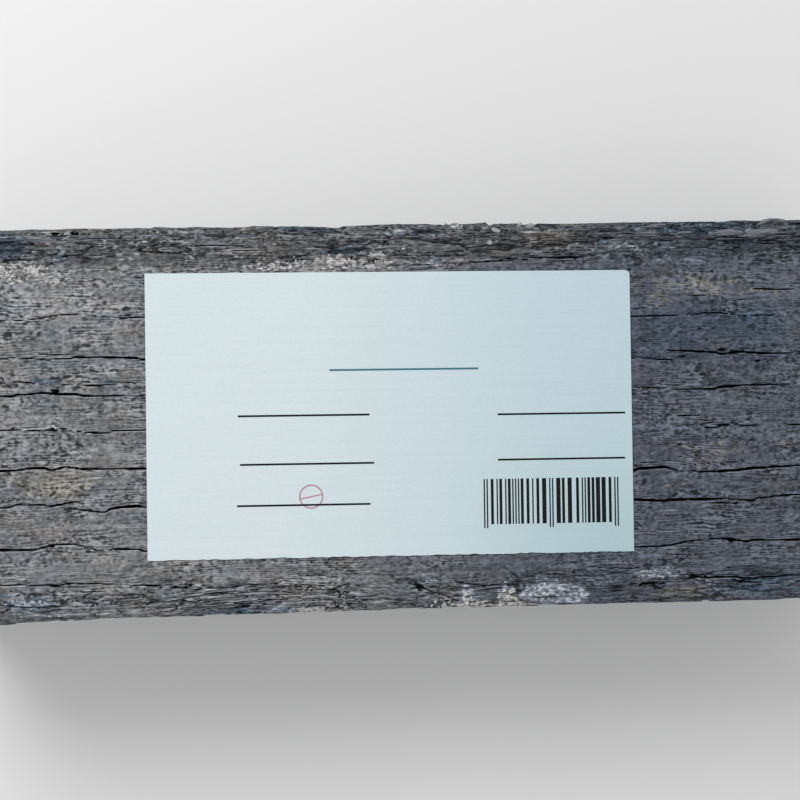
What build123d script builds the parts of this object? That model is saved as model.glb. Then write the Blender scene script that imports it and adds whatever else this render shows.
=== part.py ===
"""Timber cribbing block: one sawn, oil-soaked timber with drying checks and worn arrises,
and the paper sheet that lies on its wide face.

Millimetres, +X along the grain, +Y across the wide face, +Z up.
The origin is the centre of the bottom face, where the block rests.
"""

import os
from math import cos, radians, sin

from build123d import *

# The sawn timber
block_length = 610.0  # along the grain
block_width = 220.0  # across the wide face
block_height = 160.0
end_arris = 1.6  # easing of the sawn end's own edges

# The paper sheet on the wide face
sheet_length = 270.0
sheet_width = 158.0
sheet_thickness = 0.3
sheet_corner = 2.5  # radius of its one trimmed corner, the others are square
sheet_shift_x = -6.0  # its centre from the block's centre
sheet_shift_y = 2.0
sheet_turn = -0.5  # degrees, it lies a little askew

# Worn arrises. Each pair is how far the wear reaches over the wide face, and down the side.
# The pairs are evenly spaced from the left end to the right one.
far_top_wear = [
    (15, 9), (21, 12), (17, 8), (25, 11), (28, 13),
    (20, 8), (23, 11), (18, 12), (27, 14), (16, 9),
]
near_top_wear = [
    (9, 7), (13, 9), (11, 6), (17, 10), (21, 11),
    (14, 7), (22, 12), (17, 8), (12, 9), (10, 6),
]
far_bottom_wear = [(6, 5), (5, 8), (8, 6), (5, 5), (9, 7), (6, 9), (5, 5), (8, 6), (6, 8), (7, 5)]
near_bottom_wear = [(5, 6), (8, 7), (5, 5), (7, 9), (5, 6), (9, 6), (6, 8), (5, 5), (7, 6), (6, 6)]
wear_rounding = 0.75  # 0 is a flat bevel, 1 is a full quarter round
wear_facets = 3  # across the worn surface
wear_overrun = 0.35  # how far its cutter runs on past the face, as a share of a facet
wear_spare = 6.0  # how far the wear's cutter starts outside the block

# Drying checks. They open at the surface as a narrow V and die out to a hairline.
hairline = 0.12  # what is left of a check's mouth and depth at its tips
check_spare = 1.5  # how far a check's cutter starts above the surface
past_end = 4.0  # a check that runs out of a sawn end is cut this far past it
block_end = block_length / 2 + past_end

# Checks in the wide face: mouth, depth, and the route as (x, y) points on that face.
# Where one crosses the middle of the block it passes under the sheet.
top_checks = [
    (1.3, 8, [(-236, 58), (-214, 57), (-200, 58), (-186, 60), (-174, 60)]),
    (1.5, 11, [(-170, 56), (-144, 58), (-60, 57), (40, 55), (131, 54.5), (168, 54), (181, 55.5),
               (197, 53), (226, 53)]),
    (1.8, 15, [(-block_end, 39), (-225, 37.5), (-197, 36), (-188, 37), (-168, 36.5), (-143, 35.5),
               (-40, 35), (70, 33)]),
    (1.4, 7, [(-204, 40), (-197, 39.5), (-187, 38.5), (-176, 39)]),
    (1.5, 8, [(118, 31), (136, 30), (149, 29.5), (160, 30)]),
    (2.0, 12, [(143, 34), (166, 33), (181, 32), (193, 33), (205, 32), (222, 31.5), (252, 30.5)]),
    (1.3, 7, [(-250, 22), (-224, 23), (-206, 23.5), (-190, 22.5), (-168, 22), (-150, 22), (-120, 23)]),
    (2.0, 15, [(-block_end, 18), (-222, 17), (-206, 16.5), (-198, 17.5), (-190, 16.5), (-172, 16),
               (-148, 15.5), (-30, 16)]),
    (2.2, 14, [(60, 14), (131, 13), (168, 12.5), (178, 12.5), (195, 13.5), (212, 13.5), (240, 15)]),
    (1.5, 10, [(-240, -1.5), (-218, -2.5), (-197, -3.5), (-189, -2.5), (-168, -4.5), (-143, -4.5),
               (-50, -5), (30, -6)]),
    (1.2, 6, [(146, -1.5), (152, -2), (163, -2.5), (172, -2.5)]),
    (1.5, 10, [(150, -8), (176, -9.5), (187, -8), (191, -9.5), (210, -9.5), (219, -9), (246, -8)]),
    (1.9, 16, [(-block_end, -23), (-225, -24), (-197, -24), (-193, -25.5), (-186, -23.5), (-176, -25),
               (-143, -25.5), (-20, -28)]),
    (2.2, 18, [(-60, -30), (60, -31), (131, -32.5), (148, -32), (156, -34.5), (190, -34), (225, -33),
               (block_end, -31)]),
    (2.4, 18, [(-block_end, -45), (-225, -44.5), (-212, -43.5), (-197, -44), (-194, -45), (-186, -43),
               (-176, -42.5)]),
    (2.0, 13, [(-199, -46.5), (-178, -46.5), (-165, -48), (-158, -46.5), (-143, -45.5), (-40, -47),
               (50, -48)]),
    (2.0, 14, [(80, -49), (131, -49), (153, -50.5), (182, -50.5), (197, -52), (200, -50.5),
               (219, -49.5), (250, -48)]),
    (1.8, 13, [(-block_end, -67), (-225, -68), (-203, -68.5), (-194, -66), (-178, -66), (-168, -69),
               (-143, -70), (-60, -71)]),
    (1.8, 14, [(90, -75), (136, -75.5), (150, -75), (160, -73), (177, -72), (193, -74), (225, -75),
               (block_end, -76)]),
    (1.7, 11, [(-block_end, -86), (-225, -87), (-195, -88), (-191, -88.5), (-186, -87.5), (-170, -88),
               (-140, -90), (-128, -89.5)]),
    (1.3, 6, [(-122, -90.5), (-114, -90.5), (-102, -91.5), (-92, -91)]),
    (1.5, 7, [(118, -97), (126, -97.5), (139, -95.5), (155, -96), (166, -95)]),
    (1.7, 10, [(149, -93), (172, -94), (186, -94), (196, -96), (219, -95), (248, -94)]),
    (1.8, 9, [(1, -94.6), (8, -95), (14, -98), (20, -100), (29, -104), (36, -107)]),
    (1.4, 8, [(36, 86), (50, 86.5), (72, 87.5), (100, 88), (118, 88.5)]),
    (1.4, 9, [(-124, 98.5), (-110, 97.5), (-90, 97), (-74, 96)]),
    (1.3, 7, [(194, 68), (207, 67.5), (225, 67), (262, 66)]),
    (1.6, 18, [(-216, 105), (-196, 107), (-180, 106), (-161, 104.5)]),
    (1.8, 17, [(172, 102), (182, 100.5), (190, 99.5), (204, 100), (216, 100.5)]),
]

# Hollows where slivers of the two worn upper arrises are torn out along the grain. Mouth and depth
# are measured from the flat face too, and the worn surface lies lower, so a hollow cuts only the
# lower part of its V.
torn_hollows = [
    (9.3, 6.2, [(-298, 103), (-268, 102.3), (-236, 103)]),
    (13.8, 9.0, [(-154, 108), (-140, 108.2), (-122, 107.5)]),
    (16.5, 10.6, [(-84, 105.5), (-60, 106.5), (-33, 106)]),
    (3.6, 4.0, [(-34, 89), (-14, 87.8), (4, 88.4)]),
    (9.6, 6.2, [(-14, 100.5), (10, 101.2), (34, 101.5)]),
    (5.7, 4.2, [(40, 96.8), (54, 97.2), (68, 97.4)]),
    (12.0, 8.2, [(77, 104.5), (96, 105), (113, 104)]),
    (8.0, 5.4, [(102, 99.4), (118, 98.2), (137, 97.6)]),
    (11.0, 9.4, [(148, 106), (172, 106.5), (198, 105.4)]),
    (12.0, 11.0, [(200, 106), (210, 106.5), (222, 105.5)]),
    (11.2, 7.3, [(236, 102), (264, 101.4), (300, 102)]),
    (6.0, 4.4, [(-300, -104), (-272, -103.6), (-240, -104)]),
    (5.4, 3.9, [(-220, -102.6), (-200, -102.3), (-171, -101.3)]),
    (3.6, 3.1, [(-152, -101), (-136, -99), (-119, -97)]),
    (4.8, 3.7, [(-112, -98.8), (-90, -97.3), (-68, -97.6)]),
    (2.6, 3.5, [(-86, -92.8), (-68, -92.6), (-50, -92)]),
    (3.0, 4.0, [(-26, -94.8), (-14, -95.3), (-3, -94.9)]),
    (3.2, 4.2, [(45, -96), (58, -95.4), (73, -95)]),
    (12.0, 8.0, [(67, -106), (80, -105.6), (94, -106)]),
    (10.7, 7.5, [(111, -105.6), (132, -104.5), (162, -103.6)]),
    (6.6, 4.9, [(203, -104), (228, -103.4), (264, -104)]),
]

# Checks in the two long sides: mouth, depth, and the route as (x, z) points on the side.
far_side_checks = [
    (2.0, 15, [(-block_end, 118), (-240, 117), (-170, 119), (-96, 116), (-30, 117)]),
    (1.7, 11, [(-60, 126), (10, 124), (84, 126), (160, 123), (228, 124)]),
    (2.2, 18, [(-210, 84), (-120, 82), (-36, 85), (52, 82), (140, 84), (226, 81), (block_end, 83)]),
    (1.8, 12, [(-block_end, 52), (-236, 51), (-150, 54), (-70, 52)]),
    (1.6, 10, [(20, 46), (90, 48), (170, 45), (250, 47)]),
]
near_side_checks = [
    (1.8, 12, [(-250, 124), (-180, 122), (-90, 125), (-10, 123), (60, 124)]),
    (2.0, 14, [(30, 108), (110, 106), (190, 109), (block_end, 107)]),
    (2.3, 18, [(-block_end, 88), (-220, 86), (-130, 89), (-40, 86), (48, 88)]),
    (1.7, 11, [(90, 66), (160, 68), (236, 65), (block_end, 66)]),
    (1.9, 13, [(-200, 46), (-110, 48), (-20, 45), (80, 47)]),
]

# The heart of the log, seen on the sawn ends, and the splits that run out from it:
# direction in degrees, start and end distance from the heart, mouth and depth.
heart_y = 14.0
heart_z = 68.0
left_end_splits = [
    (72, 6, 62, 3.2, 26),
    (148, 8, 70, 2.4, 20),
    (205, 6, 58, 2.8, 22),
    (284, 8, 44, 2.2, 16),
    (352, 6, 66, 2.6, 20),
]
right_end_splits = [
    (38, 8, 72, 2.8, 22),
    (104, 6, 60, 3.0, 26),
    (176, 8, 80, 2.4, 20),
    (248, 6, 48, 2.4, 18),
    (318, 8, 56, 2.0, 16),
]
split_widest = 0.4  # where along a split it stands widest open
split_spare = 1.0  # how far a split's cutter starts outside the sawn end


def wear_section(wear, side, top):
    """Corner outline that one station of a worn arris cuts away, its worn surface in facets."""
    over_face, down_side = wear
    face_y = side * (block_width / 2 - over_face)
    out_of_face = 1 if top else -1
    face_z = block_height if top else 0.0
    worn = []
    for number in range(wear_facets + 1):
        share = number / wear_facets
        quarter = radians(90 * share)
        reach = share + wear_rounding * (sin(quarter) - share)
        drop = share + wear_rounding * (1 - cos(quarter) - share)
        worn.append((face_y + side * over_face * reach, face_z - out_of_face * down_side * drop))
    first = beyond(worn[1], worn[0])
    last = beyond(worn[-2], worn[-1])
    outer_y = side * (block_width / 2 + wear_spare)
    outer_z = face_z + out_of_face * wear_spare
    return [first, *worn[1:-1], last, (outer_y, last[1]), (outer_y, outer_z), (first[0], outer_z)]


def beyond(start, end):
    """Point a little past the end of a facet, so that the cutter crosses the block's face."""
    return tuple(here + wear_overrun * (here - there) for there, here in zip(start, end))


def check_section(mouth, depth, share, across, surface):
    """Narrow V of a check where it has the given share of its full mouth and depth."""
    half_mouth = share * mouth / 2
    full_depth = share * depth
    spread = half_mouth * (1 + check_spare / full_depth)
    corners = [(across - spread, -check_spare), (across + spread, -check_spare), (across, full_depth)]
    return [surface(along, into) for along, into in corners]


def wide_face(along, into):
    return (along, block_height - into)


def far_side(along, into):
    return (block_width / 2 - into, along)


def near_side(along, into):
    return (into - block_width / 2, along)


def check_share(number, route):
    """A check is open to its full size, apart from the tips where it dies out inside the timber."""
    inside = abs(route[number][0]) < block_length / 2
    is_tip = number in (0, len(route) - 1)
    return hairline if is_tip and inside else 1.0


def split_outline(split):
    """Long thin kite of one end split, and the point where it is deepest."""
    direction, start, end, mouth, _ = split
    out_y = cos(radians(direction))
    out_z = sin(radians(direction))
    middle = start + split_widest * (end - start)
    places = [(start, 0), (middle, -mouth / 2), (end, 0), (middle, mouth / 2)]
    outline = [
        (heart_y + reach * out_y - aside * out_z, heart_z + reach * out_z + aside * out_y)
        for reach, aside in places
    ]
    deepest = (heart_y + middle * out_y, heart_z + middle * out_z)
    return outline, deepest


wear_by_arris = [
    (far_top_wear, 1, True),
    (near_top_wear, -1, True),
    (far_bottom_wear, 1, False),
    (near_bottom_wear, -1, False),
]
checks_by_face = [
    (top_checks, wide_face),
    (torn_hollows, wide_face),
    (far_side_checks, far_side),
    (near_side_checks, near_side),
]
splits_by_end = [
    (left_end_splits, -1),
    (right_end_splits, 1),
]

with BuildPart() as timber:
    Box(block_length, block_width, block_height, align=(Align.CENTER, Align.CENTER, Align.MIN))
    end_faces = timber.faces().filter_by(Axis.X)
    chamfer(end_faces.edges(), length=end_arris)

    # Wear: along each long arris a loft takes the corner off, more here and less there
    wear_cutters = []
    for wear, side, top in wear_by_arris:
        reach = block_length + 2 * wear_spare
        spacing = reach / (len(wear) - 1)
        for number, pair in enumerate(wear):
            with BuildSketch(Plane.YZ.offset(number * spacing - reach / 2)):
                Polygon(*wear_section(pair, side, top))
        wear_cutters.append(loft(ruled=True, mode=Mode.PRIVATE))
    add(wear_cutters, mode=Mode.SUBTRACT)

    # Checks and torn hollows: each is a V that follows its route along the grain
    check_cutters = []
    for checks, surface in checks_by_face:
        for mouth, depth, route in checks:
            for number, (along_grain, across) in enumerate(route):
                share = check_share(number, route)
                with BuildSketch(Plane.YZ.offset(along_grain)):
                    Polygon(*check_section(mouth, depth, share, across, surface))
            check_cutters.append(loft(ruled=True, mode=Mode.PRIVATE))
    add(check_cutters, mode=Mode.SUBTRACT)

    # End splits: thin kites on the sawn end that close to one deepest point
    split_cutters = []
    for splits, end in splits_by_end:
        for split in splits:
            outline, (deep_y, deep_z) = split_outline(split)
            deep_x = end * (block_length / 2 - split[-1])
            end_plane = Plane.YZ.offset(end * (block_length / 2 + split_spare))
            with BuildSketch(end_plane, mode=Mode.PRIVATE) as kite:
                Polygon(*outline)
            split_cutters.append(loft([kite.sketch, Vertex(deep_x, deep_y, deep_z)], mode=Mode.PRIVATE))
    add(split_cutters, mode=Mode.SUBTRACT)
timber.part.label = "timber"

with BuildPart() as paper_sheet:
    sheet_plane = Plane((sheet_shift_x, sheet_shift_y, block_height))
    with BuildSketch(sheet_plane.rotated((0, 0, sheet_turn))) as sheet_outline:
        Rectangle(sheet_length, sheet_width)
        far_right_corner = sheet_outline.vertices().sort_by(Axis.X)[-2:].sort_by(Axis.Y)[-1]
        fillet(far_right_corner, radius=sheet_corner)
    extrude(amount=sheet_thickness)
paper_sheet.part.label = "paper_sheet"

os.makedirs("parts", exist_ok=True)
export_step(timber.part, "parts/timber.step")
export_step(paper_sheet.part, "parts/paper_sheet.step")
for piece in (timber, paper_sheet):
    box = piece.part.bounding_box()
    print(piece.part.label, len(piece.part.solids()), round(piece.part.volume), box.min, box.max)
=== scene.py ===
# %% [markdown]
# # A timber cribbing block
#
# The block is one sawn timber, 610 mm long, soaked in oil and left in the weather. It lies on its
# wide face, and a sheet of paper lies on top of it. The solids give the true sizes. This lesson
# gives them their surface: the checks, the grain, the worn arrises, the stains and the print.
#
# Everything is worked out in millimetres, which suit a timber, and turned into metres when a mesh
# is made. The solids come first, because every piece that is modelled here has to fit them.

import math

import bpy
import numpy as np
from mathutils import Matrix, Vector
from mathutils.bvhtree import BVHTree
from mathutils.geometry import delaunay_2d_cdt


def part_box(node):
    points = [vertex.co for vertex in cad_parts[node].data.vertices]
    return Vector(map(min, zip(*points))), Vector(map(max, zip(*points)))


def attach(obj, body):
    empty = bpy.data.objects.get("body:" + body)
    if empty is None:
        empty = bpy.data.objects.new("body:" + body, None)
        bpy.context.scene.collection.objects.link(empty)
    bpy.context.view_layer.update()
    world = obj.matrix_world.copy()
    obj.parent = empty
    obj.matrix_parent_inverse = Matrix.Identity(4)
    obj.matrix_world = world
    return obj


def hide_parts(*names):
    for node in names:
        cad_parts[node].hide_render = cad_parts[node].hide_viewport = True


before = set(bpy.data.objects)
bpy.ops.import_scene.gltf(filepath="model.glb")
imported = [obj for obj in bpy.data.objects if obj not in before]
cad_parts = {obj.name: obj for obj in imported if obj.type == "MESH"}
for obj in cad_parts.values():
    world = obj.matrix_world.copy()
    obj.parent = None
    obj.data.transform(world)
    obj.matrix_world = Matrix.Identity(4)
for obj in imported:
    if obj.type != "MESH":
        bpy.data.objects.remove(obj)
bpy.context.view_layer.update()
MM = 0.001
print("nodes:", sorted(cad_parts))

# %% [markdown]
# The block's sizes are read from its solid, so the timber modelled here is exactly as large. The
# rows and columns of its surface mesh are counted from these sizes further on.

# %% Read the block's sizes
block_low, block_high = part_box("timber")
LENGTH, WIDTH, HEIGHT = (round((high - low) / MM, 3) for low, high in zip(block_low, block_high))
print(f"block {LENGTH} x {WIDTH} x {HEIGHT} mm")

# %% [markdown]
# ## The camera
#
# The photograph is taken standing over the block. The block's two long edges close in towards the
# right by about 4%, so the camera leans nearly 3 degrees that way, and they climb to the right, so
# it is turned by a little over 1 degree. A 50 mm lens a bit over 600 mm above the wood then shows
# about 450 mm of its length, as the photograph does. Both ends are out of the picture.

# %% Set up the camera
CAMERA_PLACE = (-32.5, 1.2, 777.0)
CAMERA_TURN = (0.84, -2.89, -1.31)  # degrees about X, Y and Z

camera_data = bpy.data.cameras.new("over_the_block")
camera_data.lens = 50.0
camera_data.sensor_width = 36.0
camera_data.dof.use_dof = False
camera = bpy.data.objects.new("over_the_block", camera_data)
camera.location = [value * MM for value in CAMERA_PLACE]
camera.rotation_euler = [math.radians(turn) for turn in CAMERA_TURN]
bpy.context.collection.objects.link(camera)
bpy.context.scene.camera = camera
bpy.context.scene.view_settings.view_transform = "Standard"
print("camera stands", CAMERA_PLACE[2] - HEIGHT, "mm above the wide face")

# %% [markdown]
# ## Light and floor
#
# The photograph is lit by an overcast sky: soft shade in every check, and a little more light from
# the far left. A pale world gives the sky, and one broad lamp gives the direction. Together they
# light a level surface to about 1, so that each colour renders as it is written. The floor is plain
# and pale, and both lights are soft, so the block stands in a wide faint shadow.

# %% Light the block
def pale(level):
    """A neutral colour."""
    return (level, level, level, 1.0)


SKY_LEVEL = 0.58
LAMP_PLACE = (-900.0, 1100.0, 1500.0)
LAMP_SIZE = 900.0
LAMP_POWER = 19.0  # watts

world = bpy.data.worlds.new("overcast_sky")
world.use_nodes = True
bpy.context.scene.world = world
sky = world.node_tree.nodes["Background"]
sky.inputs["Color"].default_value = pale(1.0)
sky.inputs["Strength"].default_value = SKY_LEVEL

lamp_data = bpy.data.lights.new("bright_side_of_the_sky", "AREA")
lamp_data.shape = "DISK"
lamp_data.size = LAMP_SIZE * MM
lamp_data.energy = LAMP_POWER
lamp = bpy.data.objects.new("bright_side_of_the_sky", lamp_data)
lamp.location = [value * MM for value in LAMP_PLACE]
lamp_aim = Vector((0, 0, HEIGHT * MM)) - Vector(lamp.location)
lamp.rotation_euler = lamp_aim.to_track_quat("-Z", "Y").to_euler()
bpy.context.collection.objects.link(lamp)
print("lamp", round(lamp_aim.length, 2), "m away")

# %% [markdown]
# The floor is one large square. Being pale, it also throws some light back onto the long sides.

# %% Lay the floor
FLOOR_SIZE = 12.0  # metres
FLOOR_TONE = 0.90

floor_mesh = bpy.data.meshes.new("floor")
half = FLOOR_SIZE / 2
corners = [(-half, -half, 0), (half, -half, 0), (half, half, 0), (-half, half, 0)]
floor_mesh.from_pydata(corners, [], [(0, 1, 2, 3)])
floor = bpy.data.objects.new("floor", floor_mesh)
bpy.context.collection.objects.link(floor)
floor_paint = bpy.data.materials.new("floor_paint")
floor_paint.use_nodes = True
floor_shader = floor_paint.node_tree.nodes["Principled BSDF"]
floor_shader.inputs["Base Color"].default_value = pale(FLOOR_TONE)
floor_shader.inputs["Roughness"].default_value = 0.9
floor_shader.inputs["Specular IOR Level"].default_value = 0.1
floor_mesh.materials.append(floor_paint)
print("floor laid")

# %% [markdown]
# ## Noise to weather the wood with
#
# Wood is never even: its fibres run along the block, and weather follows them. Blender's own noise
# works inside materials, but the shape of the mesh needs noise as well. So this helper makes one:
# random numbers on a lattice, blended smoothly in between. A lattice cell that is long in X and
# narrow across gives streaks along the grain. Each call has its own seed, so each run is the same.

# %% Make smooth noise
LATTICE = 512


def noise(x, y, cell_x, cell_y, seed):
    """Smooth noise from -1 to 1, with patches of about cell_x by cell_y millimetres."""
    table = np.random.default_rng(seed).uniform(-1, 1, (LATTICE, LATTICE))
    u, v = x / cell_x + LATTICE / 2, y / cell_y + LATTICE / 2
    column, row = np.floor(u).astype(int), np.floor(v).astype(int)
    s, t = u - column, v - row
    s, t = s * s * (3 - 2 * s), t * t * (3 - 2 * t)
    here, there = column % LATTICE, (column + 1) % LATTICE
    low, high = row % LATTICE, (row + 1) % LATTICE
    near = table[here, low] * (1 - s) + table[there, low] * s
    far = table[here, high] * (1 - s) + table[there, high] * s
    return near * (1 - t) + far * t


def rough_noise(x, y, cell_x, cell_y, seed, octaves=4):
    """Noise on noise: each octave is half as large and nearly half as strong."""
    total, strength = 0.0, 1.0
    for octave in range(octaves):
        total = total + strength * noise(x, y, cell_x, cell_y, seed + octave)
        cell_x, cell_y, strength = cell_x / 2, cell_y / 2, strength * 0.55
    return total / 1.6


def ease(value, start, end):
    """0 before start, 1 after end, and smooth in between."""
    share = np.clip((value - start) / (end - start), 0, 1)
    return share * share * (3 - 2 * share)


print("noise sample", round(float(noise(np.array(10.0), np.array(5.0), 40, 3, 1)), 3))

# %% [markdown]
# ## The section: a rectangle with worn arrises
#
# The saw left four sharp long edges, which a timber worker calls arrises, and handling has worn
# them round. A bevel modifier would wear them all alike. Here each arris has its own list: how far
# the wear reaches over the wide face, and how far down the side, at even steps along the block. The
# lists are the solid's own, so this surface lies on the solid.

# %% Describe the worn arrises
WEAR_SPARE = 6.0  # the first and last stations stand this far past the sawn ends
WEAR_ROUNDING = 0.75  # 0 for a flat chamfer, 1 for a full round
WEAR = {
    "far_top": [(15, 9), (21, 12), (17, 8), (25, 11), (28, 13),
                (20, 8), (23, 11), (18, 12), (27, 14), (16, 9)],
    "near_top": [(9, 7), (13, 9), (11, 6), (17, 10), (21, 11),
                 (14, 7), (22, 12), (17, 8), (12, 9), (10, 6)],
    "far_bottom": [(6, 5), (5, 8), (8, 6), (5, 5), (9, 7), (6, 9), (5, 5), (8, 6), (6, 8), (7, 5)],
    "near_bottom": [(5, 6), (8, 7), (5, 5), (7, 9), (5, 6), (9, 6), (6, 8), (5, 5), (7, 6), (6, 6)],
}


def wear_at(arris, x):
    """How far the wear of an arris reaches over the wide face and down the side, at each x."""
    over, down = zip(*WEAR[arris])
    stations = np.linspace(-LENGTH / 2 - WEAR_SPARE, LENGTH / 2 + WEAR_SPARE, len(over))
    ragged = 1 + 0.16 * rough_noise(x, np.zeros_like(x), 26, 7, 71 + 5 * list(WEAR).index(arris))
    return np.interp(x, stations, over) * ragged, np.interp(x, stations, down) * ragged


def half_round(place, half, reach, into):
    """Moves points near the end of a face onto the worn arris: new place, depth and share worn."""
    share = np.clip((place - (half - reach)) / reach, 0, 1) / 2
    quarter = share * math.pi / 2
    along = share + WEAR_ROUNDING * (np.sin(quarter) - share)
    drop = share + WEAR_ROUNDING * (1 - np.cos(quarter) - share)
    return np.where(share > 0, half - reach + reach * along, place), into * drop, 2 * share


middle_wear = wear_at("far_top", np.array(0.0))
print("wear at the middle of the far arris:", [round(float(reach), 1) for reach in middle_wear], "mm")

# %% [markdown]
# ## A grid over the whole timber
#
# The long surface is one grid: rows along the block and columns round its section. The wide face on
# top is seen closest, so its columns are twice as close as the others. Rows crowd together at both
# sawn ends, where the edge is eased.

# %% Lay out the rows and columns
ROW_STEP = 1.35
FINE_COLUMN = 0.55
COARSE_COLUMN = 1.1
END_EASING = 1.6  # how far the edges of the sawn ends are rounded

end_rows = LENGTH / 2 - END_EASING * (1 - np.cos(np.linspace(0, math.pi / 2, 5)[:-1]))
body_rows = np.linspace(-LENGTH / 2 + END_EASING, LENGTH / 2 - END_EASING, round(LENGTH / ROW_STEP))
row_x = np.unique(np.round(np.concatenate([-end_rows, body_rows, end_rows]), 4))

# Each face: its width, the arris where it starts, the arris where it ends, and its column step
FACES = [
    (WIDTH, "near_top", "far_top", FINE_COLUMN),
    (HEIGHT, "far_top", "far_bottom", COARSE_COLUMN),
    (WIDTH, "far_bottom", "near_bottom", COARSE_COLUMN),
    (HEIGHT, "near_bottom", "near_top", COARSE_COLUMN),
]
TOP, FAR, BOTTOM, NEAR = range(4)
column_face, column_place = [], []
for number, (width, _, _, step) in enumerate(FACES):
    places = np.linspace(-width / 2, width / 2, round(width / step) + 1)[:-1]
    column_face.append(np.full(len(places), number))
    column_place.append(places)
column_face = np.concatenate(column_face)
column_place = np.concatenate(column_place)
face_starts = np.cumsum([0] + [face[0] for face in FACES])[:-1]
half_faces = np.array([face[0] / 2 for face in FACES])
column_round = face_starts[column_face] + column_place + half_faces[column_face]
print(len(row_x), "rows and", len(column_place), "columns")

# %% [markdown]
# Now each point gets its place. A point in the middle of a face lies on the flat face, and a point
# near an arris is moved round it by the wear found above. Last, the direction that faces outwards
# is worked out at every point, from its two neighbours round the section.

# %% Bend the grid round the section
x = np.repeat(row_x[:, None], len(column_place), axis=1)
run = np.repeat(column_round[None, :], len(row_x), axis=0)  # distance round the section
y, z = np.zeros_like(x), np.zeros_like(x)
worn = np.zeros_like(x)
for number, (width, first, last, _) in enumerate(FACES):
    columns = column_face == number
    place = np.repeat(column_place[None, columns], len(row_x), axis=0)
    depth = np.zeros_like(place)
    for sign, arris in ((-1, first), (1, last)):
        over, down = wear_at(arris, row_x[:, None])
        reach, into = (over, down) if number in (TOP, BOTTOM) else (down, over)
        moved, sunk, share = half_round(sign * place, width / 2, reach, into)
        place, depth = sign * moved, depth + sunk
        worn[:, columns] = np.maximum(worn[:, columns], share)
    if number == TOP:
        y[:, columns], z[:, columns] = place, HEIGHT - depth
    elif number == FAR:
        y[:, columns], z[:, columns] = WIDTH / 2 - depth, HEIGHT / 2 - place
    elif number == BOTTOM:
        y[:, columns], z[:, columns] = -place, depth
    else:
        y[:, columns], z[:, columns] = depth - WIDTH / 2, HEIGHT / 2 + place

along_y = np.roll(y, -1, axis=1) - np.roll(y, 1, axis=1)
along_z = np.roll(z, -1, axis=1) - np.roll(z, 1, axis=1)
turn = np.hypot(along_y, along_z)
out_y, out_z = -along_z / turn, along_y / turn
print("section runs", round(float(column_round[-1])), "mm round")

# %% [markdown]
# ## Growth rings and grain
#
# A beam of this size holds the heart of its log, so its growth rings are rough circles round that
# heart. On a sawn face they come out as lines along the grain, close together near the arrises and
# wide apart over the heart. One ring formula serves the whole block, so that the lines on the faces
# meet the rings on the sawn ends. Knots push the rings aside.

# %% Work out the rings
HEART_Y, HEART_Z = 14.0, 68.0
RING_WIDTH = 3.1
# Knots and swirls of the wide face: x, y, reach along the grain, reach across, and the push
KNOTS = [
    (197, -15, 9, 6, 5.0),
    (152, -30, 22, 9, -8.0),
    (-76, -98, 56, 14, -6.5),
    (-198, -47, 18, 6, 3.0),
    (36, 96, 40, 9, -5.0),
    (-190, 86, 34, 8, 4.0),
]


def knot_push(x, y, z):
    """How far the knots push the grain aside."""
    push_here = np.zeros_like(x)
    for knot_x, knot_y, along, across, push in KNOTS:
        near_knot = np.exp(-(((x - knot_x) / along) ** 2) - ((y - knot_y) / across) ** 2)
        push_here = push_here + push * near_knot
    return push_here * ease(z, HEIGHT - 40, HEIGHT - 5)


def ring_place(x, y, z):
    """Distance from the heart of the log, in rings, with the sway of a real trunk."""
    sway_y = 5.0 * noise(x, z, 210, 150, 11) + 1.6 * noise(x, z, 48, 60, 12)
    sway_z = 4.0 * noise(x, y, 190, 150, 13) + 1.4 * noise(x, y, 44, 60, 14)
    distance = np.hypot(y - HEART_Y + sway_y, z - HEART_Z + sway_z) + knot_push(x, y, z)
    return distance / RING_WIDTH


rings = ring_place(x, y, z)
late_wood = 0.5 + 0.5 * np.cos(2 * math.pi * rings)  # 1 on the hard line of each ring
print("rings seen on the block:", int(rings.max()))

# %% [markdown]
# ## Weather and wear
#
# Rain and sun eat the soft wood between the rings, so the hard lines stand a little proud. The
# fibres lift and split into fine streaks. Where the arrises are worn, whole slivers are torn out
# along the grain. All of it is cut inwards from the sawn face, never outwards: the block can't
# grow. Each part is a depth in millimetres. The crevices between torn fibres are the deepest.

# %% Weather the surface
fibre = rough_noise(x, run, 34, 2.4, 21)
dents = rough_noise(x, run, 26, 13, 27)
swell = rough_noise(x, run, 150, 42, 31, octaves=3)
chipped = ease(rough_noise(x, run, 24, 6, 41), 0.15, 0.5)
sides = (column_face != TOP)[None, :] & (column_face != BOTTOM)[None, :]
edge_band = np.maximum(ease(worn, 0.0, 0.4), ease(np.abs(y), 80, 96) * ease(z, HEIGHT - 20, HEIGHT - 8))

sink = 0.15 + 0.14 * (1 - late_wood) + 0.12 * fibre + 0.14 * ease(dents, 0.1, 0.9)
sink = sink + 0.25 * (0.5 + 0.5 * swell)
sink = sink + edge_band * (0.45 + 0.55 * fibre + 0.5 * dents + 1.3 * chipped)
sink = sink + np.where(sides, 0.8 * ease(swell, -0.6, 0.8), 0)

# Crevices between torn fibres run where a stretched noise changes sign
crevice = np.zeros_like(x)
for cell_x, cell_y, wide, seed in ((26, 3.6, 0.15, 35), (52, 6.5, 0.10, 37), (15, 2.6, 0.17, 39)):
    line = ease(wide - np.abs(noise(x, run, cell_x, cell_y, seed)), 0, wide)
    patchy = ease(noise(x, run, 33, 7, seed + 60), -0.25, 0.3)
    crevice = np.maximum(crevice, line * patchy)
crevice = crevice * (0.12 + 2.3 * edge_band)
sink = np.maximum(sink + crevice, 0.02)
y, z = y - out_y * sink, z - out_z * sink
print("deepest weathering:", round(float(sink.max()), 2), "mm")

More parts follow.
